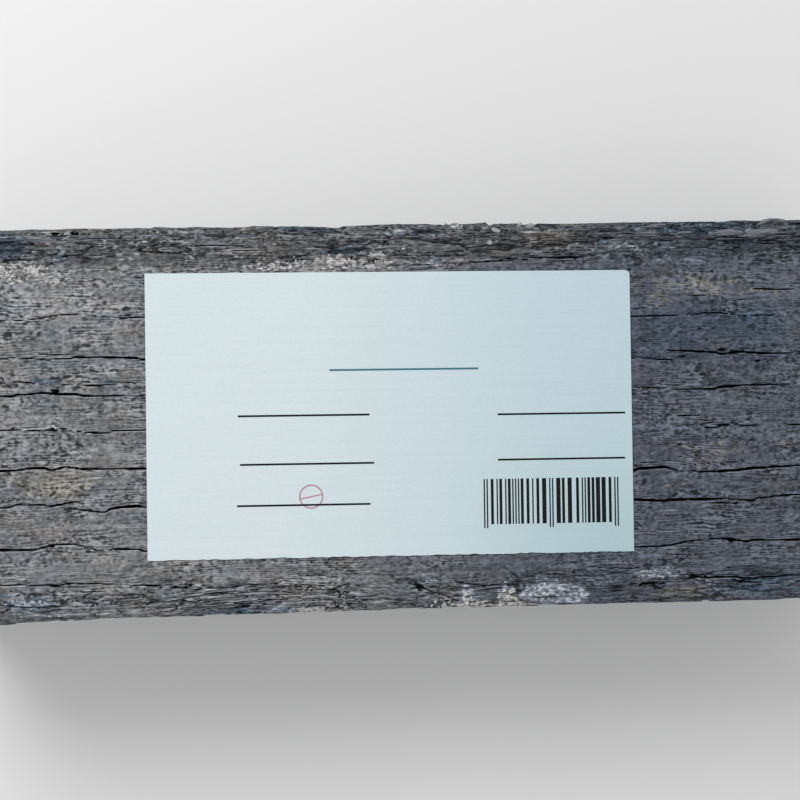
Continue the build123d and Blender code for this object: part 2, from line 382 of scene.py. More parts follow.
# %% [markdown]
# ## Drying checks
#
# The outside of a beam dries and shrinks before its heart does, so it splits along the grain. Such a
# split is called a check. The main ones follow the same routes as in the solid. The solid's checks
# are plain V cuts, so here each one also jogs from fibre to fibre, opens and closes, and has lips
# rounded by the weather. The far lip falls into shade and the near lip catches the light. The
# material also paints both lips paler, as a painted highlight.

# %% List the drying checks
PAST_END = LENGTH / 2 + 4
# Mouth, depth, and the route as (x, y) on the wide face
TOP_CHECKS = [
    (1.3, 8, [(-236, 58), (-214, 57), (-200, 58), (-186, 60), (-174, 60)]),
    (1.5, 11, [(-170, 56), (-144, 58), (-60, 57), (40, 55), (131, 54.5), (168, 54), (181, 55.5),
               (197, 53), (226, 53)]),
    (1.8, 15, [(-PAST_END, 39), (-225, 37.5), (-197, 36), (-188, 37), (-168, 36.5), (-143, 35.5),
               (-40, 35), (70, 33)]),
    (1.4, 7, [(-204, 40), (-197, 39.5), (-187, 38.5), (-176, 39)]),
    (1.5, 8, [(118, 31), (136, 30), (149, 29.5), (160, 30)]),
    (2.0, 12, [(143, 34), (166, 33), (181, 32), (193, 33), (205, 32), (222, 31.5), (252, 30.5)]),
    (1.3, 7, [(-250, 22), (-224, 23), (-206, 23.5), (-190, 22.5), (-168, 22), (-150, 22), (-120, 23)]),
    (2.0, 15, [(-PAST_END, 18), (-222, 17), (-206, 16.5), (-198, 17.5), (-190, 16.5), (-172, 16),
               (-148, 15.5), (-30, 16)]),
    (2.2, 14, [(60, 14), (131, 13), (168, 12.5), (178, 12.5), (195, 13.5), (212, 13.5), (240, 15)]),
    (1.5, 10, [(-240, -1.5), (-218, -2.5), (-197, -3.5), (-189, -2.5), (-168, -4.5), (-143, -4.5),
               (-50, -5), (30, -6)]),
    (1.2, 6, [(146, -1.5), (152, -2), (163, -2.5), (172, -2.5)]),
    (1.5, 10, [(150, -8), (176, -9.5), (187, -8), (191, -9.5), (210, -9.5), (219, -9), (246, -8)]),
    (1.9, 16, [(-PAST_END, -23), (-225, -24), (-197, -24), (-193, -25.5), (-186, -23.5), (-176, -25),
               (-143, -25.5), (-20, -28)]),
    (2.2, 18, [(-60, -30), (60, -31), (131, -32.5), (148, -32), (156, -34.5), (190, -34), (225, -33),
               (PAST_END, -31)]),
    (2.4, 18, [(-PAST_END, -45), (-225, -44.5), (-212, -43.5), (-197, -44), (-194, -45), (-186, -43),
               (-176, -42.5)]),
    (2.0, 13, [(-199, -46.5), (-178, -46.5), (-165, -48), (-158, -46.5), (-143, -45.5), (-40, -47),
               (50, -48)]),
    (2.0, 14, [(80, -49), (131, -49), (153, -50.5), (182, -50.5), (197, -52), (200, -50.5),
               (219, -49.5), (250, -48)]),
    (1.8, 13, [(-PAST_END, -67), (-225, -68), (-203, -68.5), (-194, -66), (-178, -66), (-168, -69),
               (-143, -70), (-60, -71)]),
    (1.8, 14, [(90, -75), (136, -75.5), (150, -75), (160, -73), (177, -72), (193, -74), (225, -75),
               (PAST_END, -76)]),
    (1.7, 11, [(-PAST_END, -86), (-225, -87), (-195, -88), (-191, -88.5), (-186, -87.5), (-170, -88),
               (-140, -90), (-128, -89.5)]),
    (1.3, 6, [(-122, -90.5), (-114, -90.5), (-102, -91.5), (-92, -91)]),
    (1.5, 7, [(118, -97), (126, -97.5), (139, -95.5), (155, -96), (166, -95)]),
    (1.7, 10, [(149, -93), (172, -94), (186, -94), (196, -96), (219, -95), (248, -94)]),
    (1.8, 9, [(1, -94.6), (8, -95), (14, -98), (20, -100), (29, -104), (36, -107)]),
    (1.4, 8, [(36, 86), (50, 86.5), (72, 87.5), (100, 88), (118, 88.5)]),
    (1.4, 9, [(-124, 98.5), (-110, 97.5), (-90, 97), (-74, 96)]),
    (1.3, 7, [(194, 68), (207, 67.5), (225, 67), (262, 66)]),
    (1.6, 18, [(-216, 105), (-196, 107), (-180, 106), (-161, 104.5)]),
    (1.8, 17, [(172, 102), (182, 100.5), (190, 99.5), (204, 100), (216, 100.5)]),
]
# Hollows where slivers of the worn arrises are torn out, measured like the checks above
TORN_HOLLOWS = [
    (9.3, 6.2, [(-298, 103), (-268, 102.3), (-236, 103)]),
    (13.8, 9.0, [(-154, 108), (-140, 108.2), (-122, 107.5)]),
    (16.5, 10.6, [(-84, 105.5), (-60, 106.5), (-33, 106)]),
    (3.6, 4.0, [(-34, 89), (-14, 87.8), (4, 88.4)]),
    (9.6, 6.2, [(-14, 100.5), (10, 101.2), (34, 101.5)]),
    (5.7, 4.2, [(40, 96.8), (54, 97.2), (68, 97.4)]),
    (12.0, 8.2, [(77, 104.5), (96, 105), (113, 104)]),
    (8.0, 5.4, [(102, 99.4), (118, 98.2), (137, 97.6)]),
    (11.0, 9.4, [(148, 106), (172, 106.5), (198, 105.4)]),
    (12.0, 11.0, [(200, 106), (210, 106.5), (222, 105.5)]),
    (11.2, 7.3, [(236, 102), (264, 101.4), (300, 102)]),
    (6.0, 4.4, [(-300, -104), (-272, -103.6), (-240, -104)]),
    (5.4, 3.9, [(-220, -102.6), (-200, -102.3), (-171, -101.3)]),
    (3.6, 3.1, [(-152, -101), (-136, -99), (-119, -97)]),
    (4.8, 3.7, [(-112, -98.8), (-90, -97.3), (-68, -97.6)]),
    (2.6, 3.5, [(-86, -92.8), (-68, -92.6), (-50, -92)]),
    (3.0, 4.0, [(-26, -94.8), (-14, -95.3), (-3, -94.9)]),
    (3.2, 4.2, [(45, -96), (58, -95.4), (73, -95)]),
    (12.0, 8.0, [(67, -106), (80, -105.6), (94, -106)]),
    (10.7, 7.5, [(111, -105.6), (132, -104.5), (162, -103.6)]),
    (6.6, 4.9, [(203, -104), (228, -103.4), (264, -104)]),
]
# The same for the long sides, with the route as (x, z)
FAR_CHECKS = [
    (2.0, 15, [(-PAST_END, 118), (-240, 117), (-170, 119), (-96, 116), (-30, 117)]),
    (1.7, 11, [(-60, 126), (10, 124), (84, 126), (160, 123), (228, 124)]),
    (2.2, 18, [(-210, 84), (-120, 82), (-36, 85), (52, 82), (140, 84), (226, 81), (PAST_END, 83)]),
    (1.8, 12, [(-PAST_END, 52), (-236, 51), (-150, 54), (-70, 52)]),
    (1.6, 10, [(20, 46), (90, 48), (170, 45), (250, 47)]),
]
NEAR_CHECKS = [
    (1.8, 12, [(-250, 124), (-180, 122), (-90, 125), (-10, 123), (60, 124)]),
    (2.0, 14, [(30, 108), (110, 106), (190, 109), (PAST_END, 107)]),
    (2.3, 18, [(-PAST_END, 88), (-220, 86), (-130, 89), (-40, 86), (48, 88)]),
    (1.7, 11, [(90, 66), (160, 68), (236, 65), (PAST_END, 66)]),
    (1.9, 13, [(-200, 46), (-110, 48), (-20, 45), (80, 47)]),
]
main_checks = len(TOP_CHECKS) + len(FAR_CHECKS) + len(NEAR_CHECKS)
print(main_checks, "main checks and", len(TORN_HOLLOWS), "torn hollows")

# %% [markdown]
# Between the main checks the surface is full of hairlines: short, shallow checks that follow the
# grain. The ones that can be made out in the photograph are listed, such as the nested arches by the
# near arris, and so are the torn pits. A seeded random draw lays out the rest.

# %% Add hairlines and torn pits
def draw_hairlines(count, low, high, seed):
    """Short shallow checks spread over a face, between two edges."""
    draw = np.random.default_rng(seed)
    lines = []
    for _ in range(count):
        start, reach = draw.uniform(-LENGTH / 2, LENGTH / 2 - 10), draw.uniform(8, 62)
        across, lean = draw.uniform(low, high), draw.uniform(-0.02, 0.02)
        stations = start + reach * np.linspace(0, 1, 4)
        route = [(s, across + lean * (s - start) + draw.uniform(-0.5, 0.5)) for s in stations]
        lines.append((draw.uniform(0.7, 1.4), draw.uniform(0.8, 2.6), route))
    return lines


# Hairlines that can be made out: mouth, depth and route
SEEN_HAIRLINES = [
    (1.0, 4, [(176, -29.6), (186, -29.3), (197, -29.8)]),
    (1.1, 4, [(129, -28.6), (138, -28), (147, -28.4)]),
    (1.0, 3, [(165, -82.2), (178, -80.8), (191, -79.2)]),
    (0.9, 3, [(135, -86.8), (150, -85.4), (164, -83.4)]),
    (1.0, 3, [(215, 2.5), (220, 4), (227, 9.5)]),
    (1.1, 3, [(-207, -19.9), (-198, -19.6), (-189, -20.4)]),
    (0.9, 2.5, [(-206, -22.4), (-198, -22.8), (-192, -22.2)]),
    (1.2, 5, [(178, -97), (188, -96.8), (199, -97.2)]),
    (1.0, 3, [(-215, 103.4), (-190, 103), (-165, 102.4)]),
    (1.0, 3, [(-138, 99.8), (-130, 98.8), (-125, 98.2)]),
    (1.1, 3, [(149, 100.9), (156, 100.8), (163, 101)]), (1.1, 3, [(71, 91.2), (84, 91), (97, 91.2)]),
    (1.0, 3, [(-30, 94.5), (-12, 93.6), (8, 94.2)]), (1.2, 4, [(-24, 108), (0, 108.4), (30, 107.8)]),
    (1.5, 4, [(44, 86), (50, 86.4), (72, 87.4), (100, 88), (116, 88.5)]),
    (1.5, 4, [(-126, 98.5), (-110, 97.6), (-90, 97), (-72, 96.2)]),
]
for step in range(8):  # swirled grain at the right, and arches by the near arris
    low = -1.9 * step
    SEEN_HAIRLINES.append((1.1, 2.2, [(-150 + 5 * step, -98 + low), (-121 + 3 * step, -93 + low),
                                      (-84, -91.2 + low), (-52 + 2 * step, -92 + low),
                                      (-33 + 2 * step, -96 + low), (-22 + step, -101.5 + low)]))
    if step < 5:
        SEEN_HAIRLINES.append((0.9, 2.4, [(150, -17.6 + low), (157, -17.8 + low), (163, -20 + low),
                                          (168, -24 + low), (171, -28.5 + 0.5 * low)]))

hairlines = {
    TOP: draw_hairlines(150, -104, 104, 51) + draw_hairlines(80, 84, 109, 55)
    + draw_hairlines(60, -109, -86, 56) + SEEN_HAIRLINES,
    FAR: draw_hairlines(90, 6, 146, 52),
    BOTTOM: draw_hairlines(60, -104, 104, 53),
    NEAR: draw_hairlines(90, 6, 146, 54),
}
# Torn pits on the wide face: x, y, half length, half width, depth
PITS = [
    (182, 34.2, 3.6, 1.3, 5), (190, 33.2, 4, 1.0, 4), (198, 39.6, 1.6, 1.3, 3),
    (202, 27, 1.5, 1.2, 4), (205.7, 22.4, 1.2, 0.9, 2.5), (164, 54.8, 2.2, 1.4, 2.5),
    (184, 56.2, 2.4, 1.0, 3.5), (191, 56, 2.2, 1.0, 3), (186, 13.3, 9, 1.1, 6),
    (147, 88.7, 1.3, 1.3, 4), (130, 98, 2.2, 1.3, 4), (182, -8.8, 6, 1.2, 5),
    (198, -12.6, 1.5, 1.2, 2.5), (197.5, -17.4, 2.8, 1.0, 3), (156.3, -19.2, 2.2, 1.2, 3),
    (138, -97, 9, 1.3, 7), (164, -93.7, 6, 1.2, 6), (186, -73.6, 6, 1.2, 5), (197, -51.8, 3, 1.2, 5),
    (188, -52.8, 2.4, 0.9, 3), (146, -51.8, 2.6, 0.9, 3), (149, -50.4, 3, 1.2, 4),
    (-191, -2.6, 2.4, 1.2, 4), (-194, -66, 3, 1.3, 4), (-190, 18.3, 4.5, 1.4, 5),
    (-223, 20.5, 2.4, 1.1, 2.5), (-165, 19.9, 1.6, 1.2, 2.5), (-220.6, -27.9, 2.6, 2.0, 2),
    (-163, -27.8, 2.6, 2.0, 2), (-180.4, -29.7, 1.8, 1.0, 2), (-208.7, -33, 1.8, 0.9, 2),
    (-211, -40.4, 2.6, 1.6, 1.8), (-153.4, -41, 2.8, 1.6, 1.8), (-151, -33.5, 1.6, 0.9, 2),
    (-222.6, -48, 1.8, 1.3, 2.5), (-211, 92, 4, 1.6, 3), (-192, -88.3, 6, 1.4, 5),
    (-127, -90.9, 6, 1.5, 5), (-119, -89.8, 3, 1.2, 5), (201, 99.2, 11, 1.8, 8),
    (210, 105.8, 6, 2.4, 4), (188, 105, 8, 1.6, 4), (148, 104.6, 7, 1.3, 5), (172, 101, 8, 1.4, 6),
    (-71, 97.5, 3, 1.5, 4), (-116.5, 104, 2.4, 1.2, 4), (-28, 88.8, 2.2, 1.2, 4),
    (-14, 87.6, 3.0, 1.2, 4), (-162, 102, 1.3, 1.6, 4), (-203, 90.5, 3.5, 1.3, 3),
    (-220, 94.4, 6, 2.2, 3), (7, -94.8, 3.4, 1.5, 5), (-150, 59.5, 3, 1.1, 3),
    (160, 30.6, 4, 1.0, 3), (-68, 100.2, 4, 1.2, 4), (60, -95.5, 6, 1.4, 4),
    (-60, -92.4, 5, 1.4, 3.5),
]
print(sum(len(lines) for lines in hairlines.values()), "hairlines and", len(PITS), "pits")

# %% [markdown]
# Digging them takes one helper. For each row of the grid it finds where the check runs, and presses
# the nearby points down into a V. The points right beside the V sink a little too: that is the
# rounded lip. How deep each point was dug is kept: the material darkens the checks with it, partly
# for dirt and oil, partly as painted shade.

# %% Dig the checks
HAIRLINE_SHARE = 0.12  # how far open a check still is at its tip
NARROWEST = 0.12  # half the mouth of a closed check
SHRUNK = 0.58  # oil has swollen the wood again, so a check stands this much narrower than its V
LIP = 1.2  # how far a lip reaches from the mouth of its check


def dig_check(across, check, seed, narrowed=None, uneven=0.55):
    """Depth of one check below the sawn face at every point, and how much of its lip lies there."""
    mouth, depth, route = check
    stations, places = (np.array(values, dtype=float) for values in zip(*route))
    share = np.ones(len(route))
    for tip in (0, -1):
        if abs(stations[tip]) < LENGTH / 2:
            share[tip] = HAIRLINE_SHARE
    rows = (row_x > stations[0]) & (row_x < stations[-1])
    along = row_x[rows]
    lane = np.full_like(along, seed * 7.3)
    ragged = 1 - 0.36 * uneven + uneven * rough_noise(along, lane, 13, 3, seed)
    nearly_shut = 1 - 0.8 * uneven * ease(noise(along, lane, 23, 3, seed + 9), 0.4, 0.8)
    opening = np.interp(along, stations, share) * ragged * nearly_shut
    opening = np.clip(opening, 0.1, 1.3)
    centre = np.interp(along, stations, places) + 0.22 * rough_noise(along, lane, 30, 3, seed + 1)
    centre = centre + 0.45 * np.tanh(14 * noise(along, lane, 17, 3, seed + 2))
    if narrowed is None:
        narrowed = SHRUNK * (0.6 + 0.26 * mouth)
    half_mouth = np.maximum(narrowed * opening * mouth / 2, NARROWEST)[:, None]
    aside = np.abs(across[rows] - centre[:, None])
    cut, lips = np.zeros_like(across), np.zeros_like(across)
    cut[rows] = (opening * depth)[:, None] * np.clip(1 - aside / half_mouth, 0, 1)
    lips[rows] = np.clip(1 - (aside - half_mouth) / LIP, 0, 1) ** 2 * np.minimum(opening, 1)[:, None]
    return cut, lips


upper_skin = (z > HEIGHT - 14) & (out_z > 0.12)
skins = {
    TOP: (upper_skin, y, HEIGHT - z),
    FAR: ((column_face == FAR)[None, :] & ~upper_skin, z, WIDTH / 2 - y),
    BOTTOM: ((column_face == BOTTOM)[None, :] & (z < 20), y, z),
    NEAR: ((column_face == NEAR)[None, :] & ~upper_skin, z, y + WIDTH / 2),
}
checks = {TOP: TOP_CHECKS, FAR: FAR_CHECKS, BOTTOM: [], NEAR: NEAR_CHECKS}
dug = 0.8 * np.where(crevice > 0.3, crevice, 0)
# The lip share is kept for a painted highlight on the lips.
lip = np.zeros_like(x)
for number, (skin, across, below) in skins.items():
    cut, thin_cut, lips = np.zeros_like(x), np.zeros_like(x), np.zeros_like(x)
    for order, check in enumerate(checks[number] + hairlines[number]):
        one_cut, one_lips = dig_check(across, check, 1000 * (number + 1) + 3 * order)
        lips = np.maximum(lips, one_lips)
        if order < len(checks[number]):
            cut = np.maximum(cut, one_cut)
        else:
            thin_cut = np.maximum(thin_cut, one_cut)  # measured from the worn surface, not the flat face
    if number == TOP:
        for order, hollow in enumerate(TORN_HOLLOWS):
            one_cut, one_lips = dig_check(across, hollow, 9000 + 3 * order, narrowed=1.0, uneven=0.16)
            cut = np.maximum(cut, one_cut)
        ragged = 1.1 + 1.1 * rough_noise(x, y, 2.6, 1.2, 61)
        for pit_x, pit_y, half_long, half_wide, depth in PITS:
            spread = np.hypot((x - pit_x) / half_long, (y - pit_y) / (0.9 * half_wide)) * ragged
            cut = np.maximum(cut, 0.8 * depth * ease(1.0 - spread, 0, 0.6))
    deeper = np.where(skin, np.maximum(cut - below, thin_cut) + 0.32 * lips, 0)
    dug = np.maximum(dug, deeper)
    lip = np.maximum(lip, np.where(skin & (cut <= below) & (thin_cut <= 0), lips, 0))
    if number == TOP:
        z = z - deeper
    elif number == FAR:
        y = y - deeper
    elif number == BOTTOM:
        z = z + deeper
    else:
        y = y + deeper
print("deepest check:", round(float(dug.max()), 1), "mm")

# %% [markdown]
# ## Six skins, thinned out and sewn together
#
# The full grid is far finer than the flat parts need. Blender's Decimate modifier takes points away
# where the surface is nearly flat and leaves them where it bends, as at a check. It works on one side
# at a time, so that the top keeps the most. Points on the seams are locked, so the sides still
# match and can be sewn together afterwards.

# %% Thin out one skin
def skin_mesh(name, points, faces, values):
    """A Blender mesh from points in millimetres, with values kept at its points."""
    mesh = bpy.data.meshes.new(name)
    mesh.from_pydata(points, [], faces)
    for label, numbers in values.items():
        mesh.attributes.new(label, "FLOAT", "POINT").data.foreach_set("value", numbers)
    return mesh


def thin_out(name, points, faces, values, locked, triangles):
    """Decimates a skin to about a number of triangles, apart from its locked points."""
    holder = bpy.data.objects.new(name, skin_mesh(name, points, faces, values))
    bpy.context.collection.objects.link(holder)
    free = np.flatnonzero(~locked)
    holder.vertex_groups.new(name="free").add([int(point) for point in free], 1.0, "REPLACE")
    have = sum(len(face) - 2 for face in faces)
    thinner = holder.modifiers.new("thinner", "DECIMATE")
    thinner.ratio = min(1.0, triangles / have)
    thinner.use_collapse_triangulate = True
    thinner.vertex_group = "free"
    thinner.vertex_group_factor = 1.0
    thinned = holder.evaluated_get(bpy.context.evaluated_depsgraph_get()).to_mesh()
    new_points = np.zeros(len(thinned.vertices) * 3)
    thinned.vertices.foreach_get("co", new_points)
    new_faces = np.array([list(face.vertices) for face in thinned.polygons])
    new_values = {}
    for label in values:
        numbers = np.zeros(len(thinned.vertices))
        thinned.attributes[label].data.foreach_get("value", numbers)
        new_values[label] = numbers
    bpy.data.objects.remove(holder)
    print(f"{name}: {have} triangles thinned to {len(new_faces)}")
    return new_points.reshape(-1, 3), new_faces, new_values


# %% [markdown]
# A saw leaves a sharp edge that the first knock rounds, so the last rows are drawn in along a quarter
# circle. Then the top, the two sides and the bottom are thinned one by one. The top keeps the most
# triangles, because it carries most of the checks.

# %% Round the rows at the sawn ends, then thin the four long skins
past_easing = np.clip((np.abs(row_x) - (LENGTH / 2 - END_EASING)) / END_EASING, 0, 1)
inset = END_EASING * (1 - np.sqrt(1 - past_easing**2))[:, None]
y, z = y - out_y * inset, z - out_z * inset

BUDGET = {TOP: 108000, FAR: 26000, BOTTOM: 10000, NEAR: 25000}
SKIN_NAMES = ["top", "far_side", "bottom", "near_side", "left_end", "right_end"]
values_kept = {"dug": dug, "lip": lip, "upper": upper_skin.astype(float)}
thinned_skins = []
for number in range(4):
    columns = np.flatnonzero(column_face == number)
    columns = np.append(columns, (columns[-1] + 1) % len(column_face))  # and the seam
    points = np.stack([x[:, columns], y[:, columns], z[:, columns]], axis=-1).reshape(-1, 3)
    rows, wide = len(row_x), len(columns)
    index = np.arange(rows * wide).reshape(rows, wide)
    quads = np.stack([index[:-1, :-1], index[1:, :-1], index[1:, 1:], index[:-1, 1:]], axis=-1)
    locked = np.zeros((rows, wide), dtype=bool)
    locked[[0, -1], :] = True
    locked[:, [0, -1]] = True
    values = {label: grid[:, columns].ravel() for label, grid in values_kept.items()}
    faces = quads.reshape(-1, 4).tolist()
    name = SKIN_NAMES[number]
    thinned_skins.append(thin_out(name, points, faces, values, locked.ravel(), BUDGET[number]))

# %% [markdown]
# ## The sawn ends
#
# A circular saw has left faint arcs, the hard lines of the rings stand proud, and splits run out from
# the heart. On the real block the ends can't be seen, so they are kept plain.

# %% Make the two sawn ends
END_STEP = 1.7
END_BUDGET = 9500
# Splits as in the solid: direction in degrees, start and end distance from the heart, mouth, depth
LEFT_SPLITS = [(72, 6, 62, 3.2, 26), (148, 8, 70, 2.4, 20), (205, 6, 58, 2.8, 22),
               (284, 8, 44, 2.2, 16), (352, 6, 66, 2.6, 20)]
RIGHT_SPLITS = [(38, 8, 72, 2.8, 22), (104, 6, 60, 3.0, 26), (176, 8, 80, 2.4, 20),
                (248, 6, 48, 2.4, 18), (318, 8, 56, 2.0, 16)]
WIDEST = 0.4  # where a split is widest, as a share of its length
SPLIT_STEP = 1.3


def split_shape(reach, split, order, seed):
    """A split's centre and half width at each distance from the heart, and how far open it is."""
    _, start, end, mouth, _ = split
    middle = start + WIDEST * (end - start)
    open_share = np.minimum((reach - start) / (middle - start), (end - reach) / (end - middle))
    open_share = np.clip(open_share, 0, 1)
    centre = -0.5 * noise(reach, np.full_like(reach, order), 9, 1, seed + order)
    return centre, np.maximum(mouth / 2 * open_share, 0.05), open_share


def split_rows(splits, seed):
    """Points along each split and its two lips, so that a narrow split keeps its shape."""
    rows = []
    beside = 0.12
    for order, split in enumerate(splits):
        out = math.radians(split[0])
        reach = np.arange(split[1], split[2] + SPLIT_STEP, SPLIT_STEP)
        centre, half_mouth, _ = split_shape(reach, split, order, seed)
        for lip in (-1, 0, 1):
            aside = centre + lip * (half_mouth + beside)
            rows.append([HEART_Y + reach * math.cos(out) - aside * math.sin(out),
                         HEART_Z + reach * math.sin(out) + aside * math.cos(out)])
    return np.concatenate(rows, axis=1).T


def end_depth(y, z, splits, seed):
    """How deep each point of a sawn end lies, and how much of that is a split."""
    saw_arc = np.hypot(y + 40, z - 420)
    rings = ring_place(np.full_like(y, 300.0 + seed), y, z)
    relief = 0.25 + 0.12 * np.cos(saw_arc * 2 * math.pi / 6.5) + 0.16 * np.cos(2 * math.pi * rings)
    relief = relief + 0.25 * np.abs(rough_noise(y, z, 14, 14, seed))
    split = np.zeros_like(y)
    for order, one in enumerate(splits):
        out = math.radians(one[0])
        reach = (y - HEART_Y) * math.cos(out) + (z - HEART_Z) * math.sin(out)
        aside = (z - HEART_Z) * math.cos(out) - (y - HEART_Y) * math.sin(out)
        centre, half_mouth, open_share = split_shape(reach, one, order, seed)
        closing = np.clip(1 - np.abs(aside - centre) / half_mouth, 0, 1)
        split = np.maximum(split, one[4] * np.minimum(open_share, closing))
    return np.maximum(relief, 0.02) + split, split


for last_row, splits, seed in ((0, LEFT_SPLITS, 81), (len(row_x) - 1, RIGHT_SPLITS, 91)):
    side = -1 if last_row == 0 else 1
    rim = np.stack([y[last_row], z[last_row]], axis=1)
    across, up = np.meshgrid(np.arange(-WIDTH / 2, WIDTH / 2, END_STEP), np.arange(1, HEIGHT, END_STEP))
    inner = np.stack([across.ravel(), up.ravel()], axis=1)
    inner = inner + np.random.default_rng(seed).uniform(-0.3, 0.3, inner.shape) * END_STEP
    inner = np.vstack([inner, split_rows(splits, seed)])
    flat = [Vector(point) for point in np.vstack([rim, inner])]
    outline = [list(range(len(rim)))]
    flat_points, _, faces, origins, _, _ = delaunay_2d_cdt(flat, [], outline, 1, 1e-5)
    flat_points = np.array([tuple(point) for point in flat_points])
    locked = np.array([any(origin < len(rim) for origin in group) for group in origins])
    depth, split = end_depth(flat_points[:, 0], flat_points[:, 1], splits, seed)
    depth = np.where(locked, 0, depth)
    points = np.stack([side * (LENGTH / 2 - depth), flat_points[:, 0], flat_points[:, 1]], axis=1)
    used = np.unique(np.array(faces))
    new_number = np.full(len(points), -1)
    new_number[used] = np.arange(len(used))
    faces = new_number[np.array(faces)]
    faces = faces if side == 1 else faces[:, ::-1]
    flat = np.zeros(len(used))
    values = {"dug": np.where(locked, 0, split)[used], "lip": flat, "upper": flat}
    name = SKIN_NAMES[4 if side == -1 else 5]
    thinned_skins.append(thin_out(name, points[used], faces.tolist(), values, locked[used], END_BUDGET))

# %% [markdown]
# Points that two skins share are merged into one, and triangles that close up to nothing are left
# out. A sound skin has exactly two triangles at every edge, so the last line counts the others.

# %% Sew the six skins together
all_points = np.vstack([points for points, _, _ in thinned_skins])
starts = np.cumsum([0] + [len(points) for points, _, _ in thinned_skins])
all_faces = np.vstack([faces + start for (_, faces, _), start in zip(thinned_skins, starts)])
face_skin = np.concatenate([np.full(len(faces), n) for n, (_, faces, _) in enumerate(thinned_skins)])
all_values = {label: np.concatenate([skin[2][label] for skin in thinned_skins]) for label in values_kept}

WELD = 2000  # points that agree to 1/2000 mm are one point
whole_steps = np.round(all_points * WELD).astype(int)
_, keep, place_of = np.unique(whole_steps, axis=0, return_index=True, return_inverse=True)
points_mm = all_points[keep]
faces = place_of.ravel()[all_faces]
proper = (faces[:, 0] != faces[:, 1]) & (faces[:, 1] != faces[:, 2]) & (faces[:, 2] != faces[:, 0])
faces, face_skin = faces[proper], face_skin[proper]
point_values = {label: numbers[keep] for label, numbers in all_values.items()}

edges = np.sort(np.vstack([faces[:, [0, 1]], faces[:, [1, 2]], faces[:, [2, 0]]]), axis=1)
_, times = np.unique(edges, axis=0, return_counts=True)
print(len(points_mm), "points and", len(faces), "triangles")
print("edges not shared by two:", int((times != 2).sum()))

# %% [markdown]
# ## Stains, mud and tone
#
# Oil soaked in unevenly, so the left part of the wide face is a warm grey and the right part a blue
# slate. The band along the far arris is the darkest. On top of that lie crusts of dry mud, blue and
# tan stains, and a frosty white bloom by the near arris. Each is a soft spot with a centre and a
# reach, kept as a value at the points of the mesh. The material breaks their edges up with noise.

# %% Lay out the stains on the wide face
# Each spot: x, y, reach along the grain, reach across, strength
SPOTS = {
    "mud": [
        (-208, 85, 17, 5.5, 1.0), (-216, 81, 14, 4, 0.8), (-190, 80, 12, 3, 0.7),
        (-66, 85.5, 18, 3.2, 0.9), (-36, 87, 14, 4.6, 1.0), (-12, 87, 12, 5, 1.0),
        (24, -106.5, 7, 2.4, 1.0), (34, -102.5, 3, 5, 1.0), (44, -106, 14, 2.6, 1.2),
        (57, -102, 4, 5, 1.0), (62, -107, 12, 2, 1.0), (-52, -106.5, 9, 2.4, 1.4),
        (33, 107, 5, 2.5, 0.8), (-193, 18.6, 3, 1.2, 0.9), (-193, -0.6, 3, 1.1, 0.9),
        (-142, 100, 4, 2.5, 0.7), (-163, 101, 3, 2, 0.8), (60, 105, 14, 2.5, 0.5),
        (52, 97, 9, 2, 0.6), (-130, 99.5, 5, 2, 0.7)],
    "frost": [
        (76, -102, 10, 6, 2.0), (92, -103, 10, 6, 1.9), (84, -97, 12, 2.5, 1.2),
        (34, -102, 4, 8, 1.4), (56, -101, 5, 8, 1.4), (143, -91, 20, 4, 0.95),
        (170, -96, 12, 3.5, 0.85), (-69, -106, 14, 3.4, 1.2), (150, -77, 8, 1.2, 0.9),
        (144, -79, 6, 1.0, 0.9), (-224, 84, 12, 7, 1.0), (152, 72, 12, 6, 0.7),
        (188, 57, 8, 4, 0.65), (-206, -97, 20, 5, 0.85), (128, 93, 22, 5, 0.75),
        (150, 86, 10, 5, 0.65), (-200, -105, 22, 2.6, 0.9), (20, 86, 7, 4, 0.9),
        (206, 96, 14, 4, 0.6), (-12, 104, 18, 4, 0.6), (78, -92, 10, 3, 0.8)],
    "blue": [
        (-217, 99, 14, 9, 1.0), (-228, 94, 8, 6, 1.0), (-206, -97, 20, 6, 0.65),
        (-54, 107, 22, 3, 0.8), (-32, 93, 16, 4, 0.8), (206, -99, 30, 8, 0.7), (150, 88, 12, 6, 0.5),
        (-186, 92, 14, 5, 0.5), (195, 52, 12, 8, 0.5), (-200, 24, 24, 3, 0.5),
        (-158, 22, 14, 3, 0.4), (12, 103, 22, 4, 0.7), (-92, -106, 24, 3.5, 0.8),
        (112, 97, 16, 5, 0.6), (178, 104, 26, 5, 1.2), (-196, -104, 24, 4, 0.4)],
    "slate": [
        (150, 50, 22, 9, 1.0), (176, 49, 24, 10, 1.0), (200, 46, 18, 15, 1.0),
        (150, 36, 26, 10, 0.9), (196, 33, 18, 12, 0.8), (142, 14, 20, 16, 0.5),
        (137, -10, 14, 12, 0.5), (190, 92, 34, 9, 0.5), (-168, -12, 6, 26, 0.4),
        (206, -100, 20, 6, 0.5)],
    "tan": [
        (168, 71, 34, 7, 0.6), (148, 68, 16, 9, 0.5), (200, 66, 18, 5, 0.5), (-190, -33, 18, 9, 1.0),
        (-182, 9, 16, 5, 0.35), (-185, 107, 45, 4, 0.6), (175, -22, 26, 8, 0.5),
        (156, -103, 16, 4, 1.0), (150, -41, 9, 4, 0.5), (216, -20, 14, 9, 0.4), (86, 101, 20, 6, 0.8)],
}
# Where the wood is worn smooth
SMOOTH = [(-152, 91, 28, 8, 1.0), (-100, 90, 28, 7, 1.0), (-168, -12, 7, 26, 0.9), (150, 45, 30, 12, 0.5),
          (0, -92, 60, 6, 0.6), (110, -92, 24, 5, 0.6), (-190, -84, 42, 8, 0.6), (20, 92, 30, 5, 0.8),
          (-86, -99, 62, 7, 0.8)]
